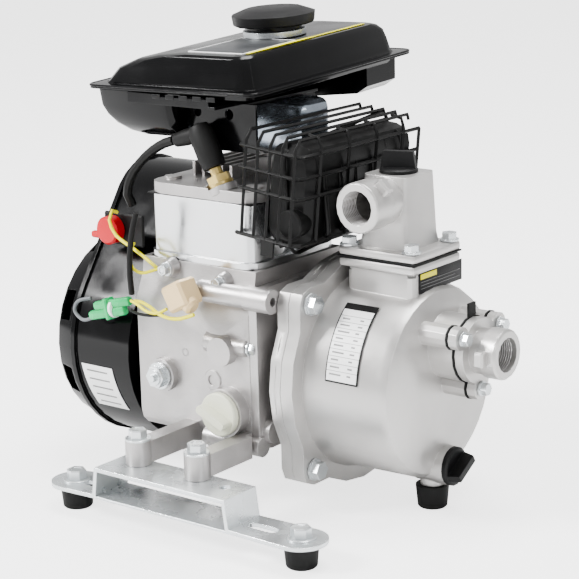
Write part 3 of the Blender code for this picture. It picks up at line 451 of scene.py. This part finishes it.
class Maker:
    """Builds the meshes that the sub-assemblies are made of."""

    @staticmethod
    def from_bmesh(name: str, shape: bmesh.types.BMesh, smooth: bool = True) -> bpy.types.Object:
        """Turn a bmesh into an object of the scene.

        Args:
            name: the piece's name.
            shape: its bmesh, in metres.
            smooth: whether round faces are shaded smooth.

        Returns:
            The object.
        """
        bmesh.ops.remove_doubles(shape, verts=shape.verts, dist=1e-6)
        bmesh.ops.recalc_face_normals(shape, faces=shape.faces)
        mesh = bpy.data.meshes.new(name)
        shape.to_mesh(mesh)
        shape.free()
        if smooth:
            mesh.polygons.foreach_set("use_smooth", [True] * len(mesh.polygons))
            mesh.set_sharp_from_angle(angle=math.radians(SHARP_ANGLE))
        obj = bpy.data.objects.new(name, mesh)
        bpy.context.scene.collection.objects.link(obj)
        return obj

    @staticmethod
    def basis(axis: Vector) -> Matrix:
        """Give a rotation that takes Z to the axis."""
        return Axis.UP.vector.rotation_difference(axis).to_matrix()

    @staticmethod
    def rings(name: str, rings: list[list[Vector]], caps: bool = True) -> bpy.types.Object:
        """Skin rings of equal count into a closed shape.

        Args:
            name: the piece's name.
            rings: rings of points, in metres.
            caps: whether the first and last ring are closed.

        Returns:
            The object.
        """
        shape = bmesh.new()
        grid = [[shape.verts.new(point) for point in ring] for ring in rings]
        for lower, upper in zip(grid, grid[1:]):
            for k in range(len(lower)):
                nxt = (k + 1) % len(lower)
                shape.faces.new((lower[k], lower[nxt], upper[nxt], upper[k]))
        if caps:
            shape.faces.new(list(reversed(grid[0])))
            shape.faces.new(grid[-1])
        return Maker.from_bmesh(name, shape)

    @staticmethod
    def turned(name: str, centre: Point, axis: Vector, profile: list[tuple[float, float]],
               sides: int = 32, caps: bool = True) -> bpy.types.Object:
        """Turn a profile round an axis.

        Args:
            name: the piece's name.
            centre: where the axis starts, in millimetres.
            axis: its direction.
            profile: (radius, height) pairs in millimetres.
            sides: how many sides the rings have; 6 makes a hexagon.
            caps: whether the ends are closed.

        Returns:
            The object.
        """
        turn = Maker.basis(axis.normalized())
        middle = at(*centre)
        rings = []
        for radius, height in profile:
            angles = [math.tau * (k + 0.5) / sides for k in range(sides)]
            ring = [Vector((math.cos(a) * radius, math.sin(a) * radius, height)) for a in angles]
            rings.append([middle + turn @ point * MM for point in ring])
        return Maker.rings(name, rings, caps)

    @staticmethod
    def route(points: list[Point], steps: int = 6) -> list[Vector]:
        """Run a smooth curve through points.

        Args:
            points: at least two points, in millimetres.
            steps: pieces between two points.

        Returns:
            The curve's points, in metres.
        """
        knots = [at(*point) for point in points]
        knots = [knots[0] * 2 - knots[1]] + knots + [knots[-1] * 2 - knots[-2]]
        curve = []
        for k in range(1, len(knots) - 2):
            a, b, c, d = knots[k - 1:k + 3]
            for s in range(steps):
                t = s / steps
                curve.append(0.5 * (2 * b + (c - a) * t + (2 * a - 5 * b + 4 * c - d) * t * t
                                    + (3 * b - a - 3 * c + d) * t ** 3))
        curve.append(knots[-2])
        return curve

    @staticmethod
    def tube(
        name: str, points: list[Point], radius: float, steps: int = 6, sides: int = 12
    ) -> bpy.types.Object:
        """Sweep a round section along a smooth route.

        Args:
            name: the piece's name.
            points: the route, in millimetres.
            radius: the section's radius in millimetres.
            steps: pieces between two points.
            sides: the section's sides.

        Returns:
            The object.
        """
        curve = Maker.route(points, steps)
        side = (curve[1] - curve[0]).normalized().orthogonal().normalized()
        rings = []
        for k, point in enumerate(curve):
            ahead = curve[min(k + 1, len(curve) - 1)] - curve[max(k - 1, 0)]
            ahead.normalize()
            side = (side - ahead * side.dot(ahead)).normalized()
            other = ahead.cross(side)
            angles = [math.tau * i / sides for i in range(sides)]
            rings.append([point + (side * math.cos(a) + other * math.sin(a)) * radius * MM for a in angles])
        return Maker.rings(name, rings)

    @staticmethod
    def plate(name: str, corners: list[Point], thickness: float, bevel: float = 0.3) -> bpy.types.Object:
        """Make a thin plate from its outline.

        Args:
            name: the piece's name.
            corners: the outline in order, in millimetres, in one plane.
            thickness: how far it stands off that plane, along its normal, in millimetres.
            bevel: the edge's rounding in millimetres.

        Returns:
            The object.
        """
        shape = bmesh.new()
        face = shape.faces.new([shape.verts.new(at(*corner)) for corner in corners])
        face.normal_update()
        lift = face.normal * thickness * MM
        moved = bmesh.ops.extrude_face_region(shape, geom=[face])
        top = [corner for corner in moved["geom"] if isinstance(corner, bmesh.types.BMVert)]
        bmesh.ops.translate(shape, verts=top, vec=lift)
        if bevel:
            bmesh.ops.bevel(
                shape, geom=list(shape.edges), offset=bevel * MM, segments=2, affect="EDGES", profile=0.7
            )
        return Maker.from_bmesh(name, shape)

    @staticmethod
    def curved_patch(name: str, radius: float, x_span: tuple[float, float], turn_span: tuple[float, float],
                     thickness: float = 0.25, lean: float = 0.0) -> bpy.types.Object:
        """Make a sticker that lies on a drum round the crank line.

        Args:
            name: the piece's name.
            radius: the drum's radius in millimetres.
            x_span: its two ends along the drum.
            turn_span: its two edges in degrees, from +Y towards +Z.
            thickness: its thickness in millimetres.
            lean: how far its lower edge is shifted along the drum.

        Returns:
            The object.
        """
        shape = bmesh.new()
        layers = []
        for r in (radius, radius + thickness):
            layer = []
            for k in range(LABEL_STEPS + 1):
                share = k / LABEL_STEPS
                angle = math.radians(turn_span[0] + (turn_span[1] - turn_span[0]) * share)
                layer.append([
                    shape.verts.new(at(x + lean * share, r * math.cos(angle), AXIS_Z + r * math.sin(angle)))
                    for x in x_span
                ])
            layers.append(layer)
        low, high = layers
        for k in range(LABEL_STEPS):
            shape.faces.new((low[k][0], low[k + 1][0], low[k + 1][1], low[k][1]))
            shape.faces.new((high[k][0], high[k][1], high[k + 1][1], high[k + 1][0]))
            for side in (0, 1):
                shape.faces.new((low[k][side], high[k][side], high[k + 1][side], low[k + 1][side]))
        for k in (0, LABEL_STEPS):
            shape.faces.new((low[k][0], low[k][1], high[k][1], high[k][0]))
        return Maker.from_bmesh(name, shape)


@dataclass
class Fastener:
    """A hex screw with a washer, made to one thread size."""

    across: float = 10.0
    head: float = 5.0
    washer: float = 6.5

    def build(self, name: str, centre: Point, axis: Vector) -> None:
        """Set the screw on a face.

        Args:
            name: the screw's name.
            centre: the middle of its seat, in millimetres.
            axis: the way its head points.
        """
        hole = self.washer * 0.5
        washer = [(hole, -0.4), (self.washer, -0.4), (self.washer, 0.9), (self.washer - 0.4, 1.2), (hole, 1.2)]
        dress(Maker.turned(f"{name}_washer", centre, axis, washer, 28), "zinc")
        corner = self.across / math.sqrt(3)
        flats = [(corner, 1.2), (corner, 1.2 + self.head - 0.8), (corner * 0.9, 1.2 + self.head),
                 (corner * 0.62, 1.2 + self.head), (corner * 0.5, 0.6 + self.head)]
        dress(Maker.turned(f"{name}_head", centre, axis, flats, 6), "zinc")


@dataclass
class Tank:
    """The enamelled fuel tank: its seam, panel, strip and neck."""

    rim: tuple[float, float, float, float] = (-263.0, -101.0, -71.5, 129.5)
    level: float = 305.0
    tilt: float = 2.6
    roll: float = -1.3
    deck: float = 331.0

    def place(self, obj: bpy.types.Object) -> bpy.types.Object:
        """Lean a piece of the level tank into place.

        Args:
            obj: the piece, made as if the tank were level.

        Returns:
            The same piece, leaned about the flange's front right corner.
        """
        corner = at(self.rim[1], self.rim[2], self.level)
        roll = Matrix.Rotation(math.radians(self.roll), 4, "Y")
        lean = roll @ Matrix.Rotation(math.radians(self.tilt), 4, "X")
        obj.data.transform(Matrix.Translation(corner) @ lean @ Matrix.Translation(-corner))
        return obj

    def build(self) -> None:
        """Build and dress every piece on the tank."""
        self.seam()
        self.decal()
        self.neck()

    def seam(self) -> None:
        """Roll the bead that closes the flange."""
        left, right, front, back = self.rim
        corner = 9.0
        points = []
        for cx, cy, start in ((right - corner, front + corner, -90), (right - corner, back - corner, 0),
                              (left + corner, back - corner, 90), (left + corner, front + corner, 180)):
            for k in range(5):
                angle = math.radians(start + 22.5 * k)
                points.append((cx + math.cos(angle) * (corner - 0.5), cy + math.sin(angle) * (corner - 0.5),
                               self.level + 0.8))
        points.append(points[0])
        dress(self.place(Maker.tube("tank_seam_bead", points, 1.0, 1, 10)), "gloss_black")
        for k in range(5):
            x = -196.0 + k * 13.0
            slot = [(x, front - 0.1, self.level - 6), (x + 8, front - 0.1, self.level - 6),
                    (x + 8, front - 0.1, self.level - 2.5), (x, front - 0.1, self.level - 2.5)]
            dress(self.place(Maker.plate(f"tank_strip_rib_{k + 1}", slot, 0.5, 0.2)), "matt_black")

    def decal(self) -> None:
        """Lay the grey panel, its outline and the yellow stripe on the deck."""
        z = self.deck - 0.25
        panel = [(-176, -50, z), (-125, -50, z), (-125, 12, z), (-176, 12, z)]
        dress(self.place(Maker.plate("tank_decal", panel, 0.3, 0.1)), "decal")
        for k in range(4):
            a, b = panel[k], panel[(k + 1) % 4]
            dress(self.place(Maker.tube(f"decal_line_{k + 1}", [a, b], 0.5, 2, 8)), "paper")
        stripe = [(-124, -48, z), (-120.5, -48, z), (-120.5, 94, z), (-124, 94, z)]
        dress(self.place(Maker.plate("tank_stripe", stripe, 0.35, 0.1)), "yellow")

    def neck(self) -> None:
        """Ring the filler neck."""
        neck = [(22.5, 26.0), (24.0, 26.2), (24.0, 30.5), (22.5, 31.0)]
        collar = Maker.turned("neck_collar", (-160, 32, self.level), Axis.UP.vector, neck, 40)
        dress(self.place(collar), "zinc")


@dataclass
class Muffler:
    """The pressed muffler: its seam, ribs and outlet."""

    centre_x: float = -88.0
    tilt: float = 6.0

    def place(self, obj: bpy.types.Object) -> bpy.types.Object:
        """Lean a piece of the level muffler into place.

        Args:
            obj: the piece, made as if the muffler were level.

        Returns:
            The same piece, leaned about the muffler's middle.
        """
        pivot = at(self.centre_x, 0.0, 231.0)
        lean = Matrix.Rotation(math.radians(self.tilt), 4, "X")
        obj.data.transform(Matrix.Translation(pivot) @ lean @ Matrix.Translation(-pivot))
        return obj

    def build(self) -> None:
        """Build and dress every piece on the muffler."""
        ring = [(8.4, -0.5), (10.8, -0.5), (10.8, 1.4), (9.8, 2.2), (8.4, 2.2)]
        dress(Maker.turned("outlet_lip", (-80.8, -58.0, 213.2), Axis.FRONT.vector, ring, 32), "soot")
        self.seam()
        self.ribs()

    def seam(self) -> None:
        """Roll the seam where the two shells meet."""
        x, front, back, low, high, bend = self.centre_x, -52.3, 76.3, 192.7, 269.3, 8.0
        points = []
        for cy, cz, start in ((back - bend, high - bend, 0), (front + bend, high - bend, 90),
                              (front + bend, low + bend, 180), (back - bend, low + bend, 270)):
            for k in range(4):
                angle = math.radians(start + 30 * k)
                points.append((x, cy + bend * math.cos(angle), cz + bend * math.sin(angle)))
        points.append(points[0])
        dress(self.place(Maker.tube("muffler_seam", points, 1.5, 1, 10)), "soot")

    def ribs(self) -> None:
        """Press the upright ribs into the outer shell."""
        for k in range(6):
            y = -34.0 + 19.0 * k
            heights = (204.0, 209.0, 231.0, 253.0, 258.0)
            depths = (-70.5, -67.6, -67.6, -67.6, -70.5)
            points = [(x, y, z) for x, z in zip(depths, heights)]
            dress(self.place(Maker.tube(f"muffler_rib_{k + 1}", points, 2.0, 4, 12)), "soot")


@dataclass
class Engine:
    """The crankcase, block and head with their bosses and screws."""

    head_joint_z: float = 224.7
    block_joint_z: float = 176.6
    case_seams: tuple[float, float] = (-131.5, -127.5)
    flange_screws: tuple[tuple[float, float], tuple[float, float]] = ((-184.5, 171.0), (-133.5, 167.0))

    def build(self) -> None:
        """Build and dress every piece on the engine."""
        self.joint()
        self.bosses()
        self.screws()

    def joint(self) -> None:
        """Run the gasket seams under the block and under the head."""
        for name, z, inset in (
            ("head_gasket", self.head_joint_z, 0.5),
            ("block_gasket", self.block_joint_z, 1.5),
        ):
            left, right, front, back = -210.0 + inset, -110.0 - inset, -66.5 + inset, 33.0
            low = z - 0.35
            ring = [(left, front, low), (right, front, low), (right, back, low), (left, back, low)]
            dress(Maker.plate(name, ring, 0.9, 0.15), "soot")

    def bosses(self) -> None:
        """Stand the screw bosses and the ribs on the crankcase side."""
        right = Axis.RIGHT.vector
        front = Axis.FRONT.vector
        for name, centre, axis, radius, length in (
            ("boss_upper", (-143.0, -76.0, 121.5), right, 6.6, 35.0),
            ("boss_lower", (-142.0, -76.0, 47.0), right, 6.6, 31.0),
            ("boss_middle", (-141.5, -74.0, 92.6), front, 8.0, 5.0),
            ("boss_small", (-167.5, -74.0, 110.0), front, 4.2, 4.0),
            ("boss_flange_left", (-184.5, -72.0, 171.0), front, 6.5, 4.0),
            ("boss_flange_right", (-133.5, -72.0, 167.0), front, 6.0, 4.0),
        ):
            profile = [
                (radius + 1.4, -3.0), (radius + 0.3, 0.8), (radius, length - 0.8),
                (radius - 0.8, length), (radius * 0.5, length), (radius * 0.42, length - 2.2),
            ]
            dress(Maker.turned(name, centre, axis, profile, 32), "cast")
        for k, (x, z) in enumerate(((-148.0, 150.0), (-136.0, 148.0), (-124.0, 146.0))):
            rib = [(x - 4, -70, z - 14), (x, -73, z), (x + 8, -70, z + 16)]
            dress(Maker.tube(f"case_rib_{k + 1}", rib, 2.2, 5, 12), "cast")
        for k, x in enumerate(self.case_seams):
            line = [(x, -68.6, 56.0), (x, -68.6, 85.0), (x, -68.6, 115.0)]
            dress(Maker.tube(f"case_seam_{k + 1}", line, 0.9, 2, 8), "soot")

    def screws(self) -> None:
        """Set the screws of the block flange, ears, head and bracket."""
        small = Fastener(8.0, 4.5, 5.6)
        large = Fastener(12.0, 6.5, 9.5)
        down = Axis.UP.vector
        small.build("head_screw", (-164.0, -45.2, 246.0), Vector((0, -1, 0.1)))
        small.build("case_screw_upper", (-107.0, -76.0, 121.5), Axis.RIGHT.vector)
        small.build("case_screw_lower", (-110.0, -76.0, 47.0), Axis.RIGHT.vector)
        small.build("flange_screw_left", (-184.5, -76.4, 171.0), Axis.FRONT.vector)
        small.build("flange_screw_right", (-133.5, -76.4, 167.0), Axis.FRONT.vector)
        large.build("ear_screw_left", (-163.0, -139.0, 60.0), down)
        large.build("ear_screw_right", (-107.0, -139.0, 60.0), down)


@dataclass
class Pump:
    """The cast pump: labels, gaskets and port threads."""

    radius: float = 72.2
    span: tuple[float, float] = (-45.5, -17.5)
    turn: tuple[float, float] = (123.0, 171.5)
    elbow_joint: tuple[float, ...] = (-60.4, 6.4, -30.4, 30.4, 187.4)
    neck_face: float = 2.45
    thread_pitch: float = 1.8

    def build(self) -> None:
        """Build and dress every piece on the pump."""
        self.label()
        self.panel()
        self.gaskets()
        self.threads()

    def label(self) -> None:
        """Stick the ruled data plate on the casing, with a blank header."""
        lean = 2.5
        dress(Maker.curved_patch("plate_border", self.radius, self.span, self.turn, 0.3, lean), "matt_black")
        inner = (self.span[0] + 0.9, self.span[1] - 0.9)
        dress(Maker.curved_patch("plate_paper", self.radius + 0.12, (inner[0] + 0.25, inner[1] + 0.25),
                                 (self.turn[0] + 4.6, self.turn[1] - 0.9), 0.3, lean * 0.88), "paper")
        rows = 9
        for k in range(rows):
            angle = self.turn[0] + 9.0 + k * 4.1
            shift = lean * (angle - self.turn[0]) / (self.turn[1] - self.turn[0])
            rule = (inner[0] + shift, inner[1] + shift)
            line = Maker.curved_patch(f"plate_rule_{k + 1}", self.radius + 0.3, rule, (angle, angle + 0.25), 0.2)
            dress(line, "print_grey")
            for part, (start, end) in enumerate(((0.1, 0.34 + 0.07 * (k % 3)), (0.68, 0.8 + 0.03 * (k % 2)))):
                width = inner[1] - inner[0]
                cells = (inner[0] + shift + width * start, inner[0] + shift + width * end)
                dress(Maker.curved_patch(f"plate_entry_{k + 1}_{part + 1}", self.radius + 0.3, cells,
                                         (angle + 1.6, angle + 2.5), 0.2), "print_grey")

    def panel(self) -> None:
        """Stick the plain black panel with its yellow field on the neck."""
        x = self.neck_face
        field_y = (-19.0, 36.0)
        z_low, z_high = 164.5, 179.8
        left, right = field_y
        black = [(x, left, z_low), (x, right, z_low), (x, right, z_high), (x, left, z_high)]
        dress(Maker.plate("neck_panel", black, 0.35, 0.1), "matt_black")
        yellow = [(x + 0.3, y, z) for y, z in ((-17.5, 174.8), (3.0, 174.8), (3.0, 178.8), (-17.5, 178.8))]
        dress(Maker.plate("neck_panel_field", yellow, 0.3, 0.08), "yellow")
        for k in range(3):
            z = 172.8 - 2.4 * k
            line = [(x + 0.4, -17.0, z), (x + 0.4, 33.0 - 6 * (k % 2), z)]
            dress(Maker.tube(f"neck_panel_line_{k + 1}", line, 0.28, 2, 6), "print_grey")

    def gaskets(self) -> None:
        """Lay the black joint under the outlet elbow."""
        left, right, front, back, z = self.elbow_joint
        outline = [(left, front, z), (right, front, z), (right, back, z), (left, back, z)]
        dress(Maker.plate("elbow_joint", outline, 1.1, 0.2), "rubber")

    def threads(self) -> None:
        """Cut the thread rings inside both ports."""
        for name, centre, axis in (("outlet", (-27.0, -52.0, 229.5), Axis.BACK.vector),
                                   ("inlet", (61.0, 0.0, 125.0), Axis.LEFT.vector)):
            profile = []
            for k in range(9):
                start = 1.0 + k * self.thread_pitch
                profile += [(12.6, start), (12.0, start + 0.5), (12.0, start + 0.9), (12.6, start + 1.4)]
            dress(Maker.turned(f"{name}_thread", centre, axis, profile, 40, caps=False), "cast")


@dataclass
class Wiring:
    """The plug lead's tail, the sensor wires and their terminals."""

    def build(self) -> None:
        """Build and dress every wire."""
        for name, finish, radius, points in (
            ("wire_yellow_tail", "yellow", 1.2,
             [(-218, -74, 186), (-214, -84, 182), (-208, -88, 172), (-200, -86, 168), (-190, -80, 171),
              (-184.5, -76, 172)]),
            ("wire_yellow_branch", "yellow", 1.2,
             [(-207, -92, 147), (-198, -95, 146), (-186, -98, 143), (-176, -98, 143), (-168, -96, 147)]),
            ("wire_black_branch", "rubber", 1.1,
             [(-208, -91, 139), (-198, -95, 139), (-184, -97, 140), (-172, -96, 142)]),
            ("wire_grey_ring", "grey_wire", 1.4,
             [(-252, -88, 142), (-262, -92, 139), (-266, -92, 131), (-258, -92, 125), (-248, -91, 128),
              (-240, -90, 134)]),
            ("wire_black_conduit", "rubber", 2.2,
             [(-200, -90, 214), (-203, -92, 200), (-206, -92, 184), (-207, -92, 168), (-206, -92, 152)]),
        ):
            dress(Maker.tube(name, points, radius), finish)
        tie = [(6.0, -1.5), (6.8, -1.2), (6.8, 1.2), (6.0, 1.5)]
        dress(Maker.turned("wire_tie", (-227, -89, 137.5), Vector((1, 0, 0.2)), tie, 24), "paper")


@dataclass
class Bracket:
    """The zinc feet brackets and their screws."""

    def build(self) -> None:
        """Set the screws and washers of the feet."""
        screw = Fastener(13.0, 7.0, 10.5)
        for name, x, y in (("foot_left", -219.0, -147.0), ("foot_right", -9.0, -147.0)):
            screw.build(f"{name}_screw", (x, y, 20.3), Axis.UP.vector)


@dataclass
class Starter:
    """The recoil starter's rope and the sticker on the drum."""

    cover_x: float = -300.0
    drum_radius: float = 82.1

    def build(self) -> None:
        """Build and dress every piece on the starter."""
        route = [(self.cover_x, y, 100) for y in (66, 78, 88)]
        rope = Maker.tube("starter_rope", route, 1.8, 24, 12)
        rope.data.materials.append(FINISHES[0].get("rubber"))
        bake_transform(rope)
        radius = self.drum_radius
        sticker = Maker.curved_patch("drum_sticker", radius, (-272.0, -240.0), (187.0, 214.0), 0.3, 4.0)
        dress(sticker, "paper")
        for k in range(5):
            turn = 190.0 + 5.0 * k
            ends = (-267.0 + k, -246.0 + k)
            line = Maker.curved_patch(f"drum_sticker_line_{k + 1}", radius + 0.2, ends, (turn, turn + 0.8), 0.3)
            dress(line, "print_grey")


@dataclass
class Carried:
    """The frame's own nodes, and the finish each one takes."""

    special: dict[str, str] = field(default_factory=lambda: {"oil_alert_module": "tan"})
    edge_angle: float = 26.0
    weld_distance: float = 0.00001

    def build(self, nodes: dict[str, bpy.types.Object]) -> None:
        """Dress every node of the frame.

        Args:
            nodes: the frame's nodes by name.
        """
        smoothing = self.smoothing()
        for name, obj in nodes.items():
            finish = self.special.get(name, FINISH_OF.get(name, "cast"))
            obj.data.materials.clear()
            obj.data.materials.append(FINISHES[0].get(finish))
            obj.modifiers.new("true_edges", "NODES").node_group = smoothing

    def smoothing(self) -> bpy.types.NodeTree:
        """Make the modifier that shades curved faces smooth and keeps true edges.

        Returns:
            A geometry node group for a Nodes modifier.
        """
        tree = bpy.data.node_groups.new("true_edges", "GeometryNodeTree")
        for way in ("INPUT", "OUTPUT"):
            tree.interface.new_socket("Geometry", in_out=way, socket_type="NodeSocketGeometry")
        nodes = tree.nodes
        plain = nodes.new("GeometryNodeRemoveAttribute")
        plain.inputs["Name"].default_value = "custom_normal"
        weld = nodes.new("GeometryNodeMergeByDistance")
        weld.inputs["Distance"].default_value = self.weld_distance
        faces = nodes.new("GeometryNodeSetShadeSmooth")
        edges = nodes.new("GeometryNodeSetShadeSmooth")
        edges.domain = "EDGE"
        angle = nodes.new("GeometryNodeInputMeshEdgeAngle")
        shallow = nodes.new("FunctionNodeCompare")
        shallow.operation = "LESS_EQUAL"
        shallow.inputs["B"].default_value = math.radians(self.edge_angle)
        tree.links.new(angle.outputs["Unsigned Angle"], shallow.inputs["A"])
        tree.links.new(shallow.outputs["Result"], edges.inputs["Shade Smooth"])
        flow = nodes.new("NodeGroupInput").outputs["Geometry"]
        for step in (plain, weld, faces, edges):
            tree.links.new(flow, step.inputs[0])
            flow = step.outputs[0]
        tree.links.new(flow, nodes.new("NodeGroupOutput").inputs["Geometry"])
        return tree


FINISH_OF = {
    name: finish
    for finish, names in {
        "matt_black": (
            "air_filter_case choke_lever drain_plug fuel_cap priming_plug recoil_pulley "
            "starter_grip stop_switch_base"
        ),
        "cast": "carburettor crankcase cylinder_head flywheel_fan impeller side_cover volute_housing",
        "zinc": (
            "casing_bolt_1 casing_bolt_2 casing_bolt_3 casing_bolt_4 discharge_bolt_1 "
            "discharge_bolt_2 discharge_bolt_3 discharge_bolt_4 front_bracket oil_level_switch "
            "rear_bracket suction_bolt_1 suction_bolt_2 suction_bolt_3 throttle_lever"
        ),
        "rubber": (
            "check_flap foot_front_left foot_front_right foot_rear ht_lead plug_cap pump_foot "
            "suction_gasket"
        ),
        "steel": "crankshaft head_cowl",
        "polished": "cylinder_block",
        "satin": "discharge_elbow pump_back_plate pump_casing suction_flange",
        "gloss_black": "fan_housing fuel_tank_lower fuel_tank_upper recoil_cover tank_bracket",
        "red": "fuel_tap_lever stop_switch_knob",
        "soot": "muffler muffler_guard",
        "cream": "oil_filler_cap",
        "yellow": "sensor_wire stop_wire",
        "brass": "spark_plug",
        "green": "wire_connectors",
    }.items()
    for name in names.split()
}


@dataclass
class Studio:
    """The pale floor, the soft lights and the camera."""

    place: Point = (0.8772, -1.10878, 0.510)
    heading: float = 38.08
    pitch: float = 14.25
    roll: float = -1.47
    lens: float = 121.2

    def build(self) -> None:
        """Build the floor, the lights and the camera."""
        self.floor()
        self.lights()
        self.camera()

    def floor(self) -> None:
        """Lay a wide pale floor."""
        shape = bmesh.new()
        rows = []
        for y in (-14.0, -2.0, 2.0, 14.0):
            rows.append([shape.verts.new((x, y, 0.0)) for x in (-14.0, 14.0)])
        for lower, upper in zip(rows, rows[1:]):
            shape.faces.new((lower[0], lower[1], upper[1], upper[0]))
        obj = Maker.from_bmesh("studio_floor", shape)
        material = bpy.data.materials.new("studio_floor")
        material.use_nodes = True
        shader = material.node_tree.nodes["Principled BSDF"]
        shader.inputs["Base Color"].default_value = (0.93, 0.93, 0.93, 1)
        shader.inputs["Roughness"].default_value = 0.9
        self.seen_white(material.node_tree, shader.outputs["BSDF"], "ShaderNodeOutputMaterial")
        obj.data.materials.append(material)

    @staticmethod
    def seen_white(tree: bpy.types.NodeTree, shaded: bpy.types.NodeSocket, ending: str) -> None:
        """Lift a backdrop towards white where the camera sees it, and leave its light alone.

        Args:
            tree: the backdrop's node tree.
            shaded: its shader.
            ending: the type of its output node.
        """
        rays = tree.nodes.new("ShaderNodeLightPath")
        glow = tree.nodes.new("ShaderNodeEmission")
        glow.inputs["Strength"].default_value = 3.2
        mix = tree.nodes.new("ShaderNodeMixShader")
        tree.links.new(math_node(tree, "MULTIPLY", rays.outputs["Is Camera Ray"], 0.5), mix.inputs["Fac"])
        tree.links.new(shaded, mix.inputs[1])
        tree.links.new(glow.outputs[0], mix.inputs[2])
        output = next(node for node in tree.nodes if node.bl_idname == ending)
        tree.links.new(mix.outputs[0], output.inputs["Surface"])

    def lights(self) -> None:
        """Hang the sky and three soft boxes."""
        world = bpy.data.worlds.new("studio")
        bpy.context.scene.world = world
        world.use_nodes = True
        world.node_tree.nodes["Background"].inputs["Color"].default_value = (1, 1, 1, 1)
        sky = world.node_tree.nodes["Background"]
        sky.inputs["Strength"].default_value = 0.75
        self.seen_white(world.node_tree, sky.outputs[0], "ShaderNodeOutputWorld")
        for name, place, size, power in (
            ("key", (-1.3, -1.5, 1.6), 0.8, 85.0),
            ("fill", (1.8, -0.7, 1.0), 0.7, 7.0),
            ("top", (0.2, 0.3, 2.0), 1.0, 42.0),
        ):
            lamp = bpy.data.lights.new(name, "AREA")
            lamp.size = size
            lamp.energy = power
            obj = bpy.data.objects.new(name, lamp)
            obj.location = place
            obj.rotation_euler = (Vector((0, 0, 0.16)) - Vector(place)).to_track_quat("-Z", "Y").to_euler()
            bpy.context.scene.collection.objects.link(obj)

    def camera(self) -> None:
        """Stand the camera at the front right of the pump."""
        heading, pitch = math.radians(self.heading), math.radians(self.pitch)
        right = Vector((math.cos(heading), math.sin(heading), 0))
        level = math.cos(pitch)
        ahead = Vector((-math.sin(heading) * level, math.cos(heading) * level, -math.sin(pitch)))
        turn = Matrix((right, right.cross(ahead), -ahead)).transposed()
        data = bpy.data.cameras.new("camera")
        data.lens = self.lens
        data.sensor_width = 36.0
        data.clip_end = 20.0
        obj = bpy.data.objects.new("camera", data)
        bpy.context.scene.collection.objects.link(obj)
        rolled = turn @ Matrix.Rotation(math.radians(self.roll), 3, "Z")
        obj.matrix_world = Matrix.Translation(self.place) @ rolled.to_4x4()
        bpy.context.scene.camera = obj
        bpy.context.scene.view_settings.look = "AgX - Medium High Contrast"


def main() -> None:
    """Build the pump's looks in order."""
    logging.basicConfig(level=logging.INFO)
    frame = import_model()
    FINISHES.append(Finishes())
    Studio().build()
    Carried().build(frame["nodes"])
    for part in (Tank(), Muffler(), Engine(), Pump(), Wiring(), Bracket(), Starter()):
        part.build()
        LOG.info("built %s", type(part).__name__)


if __name__ == "__main__":
    main()
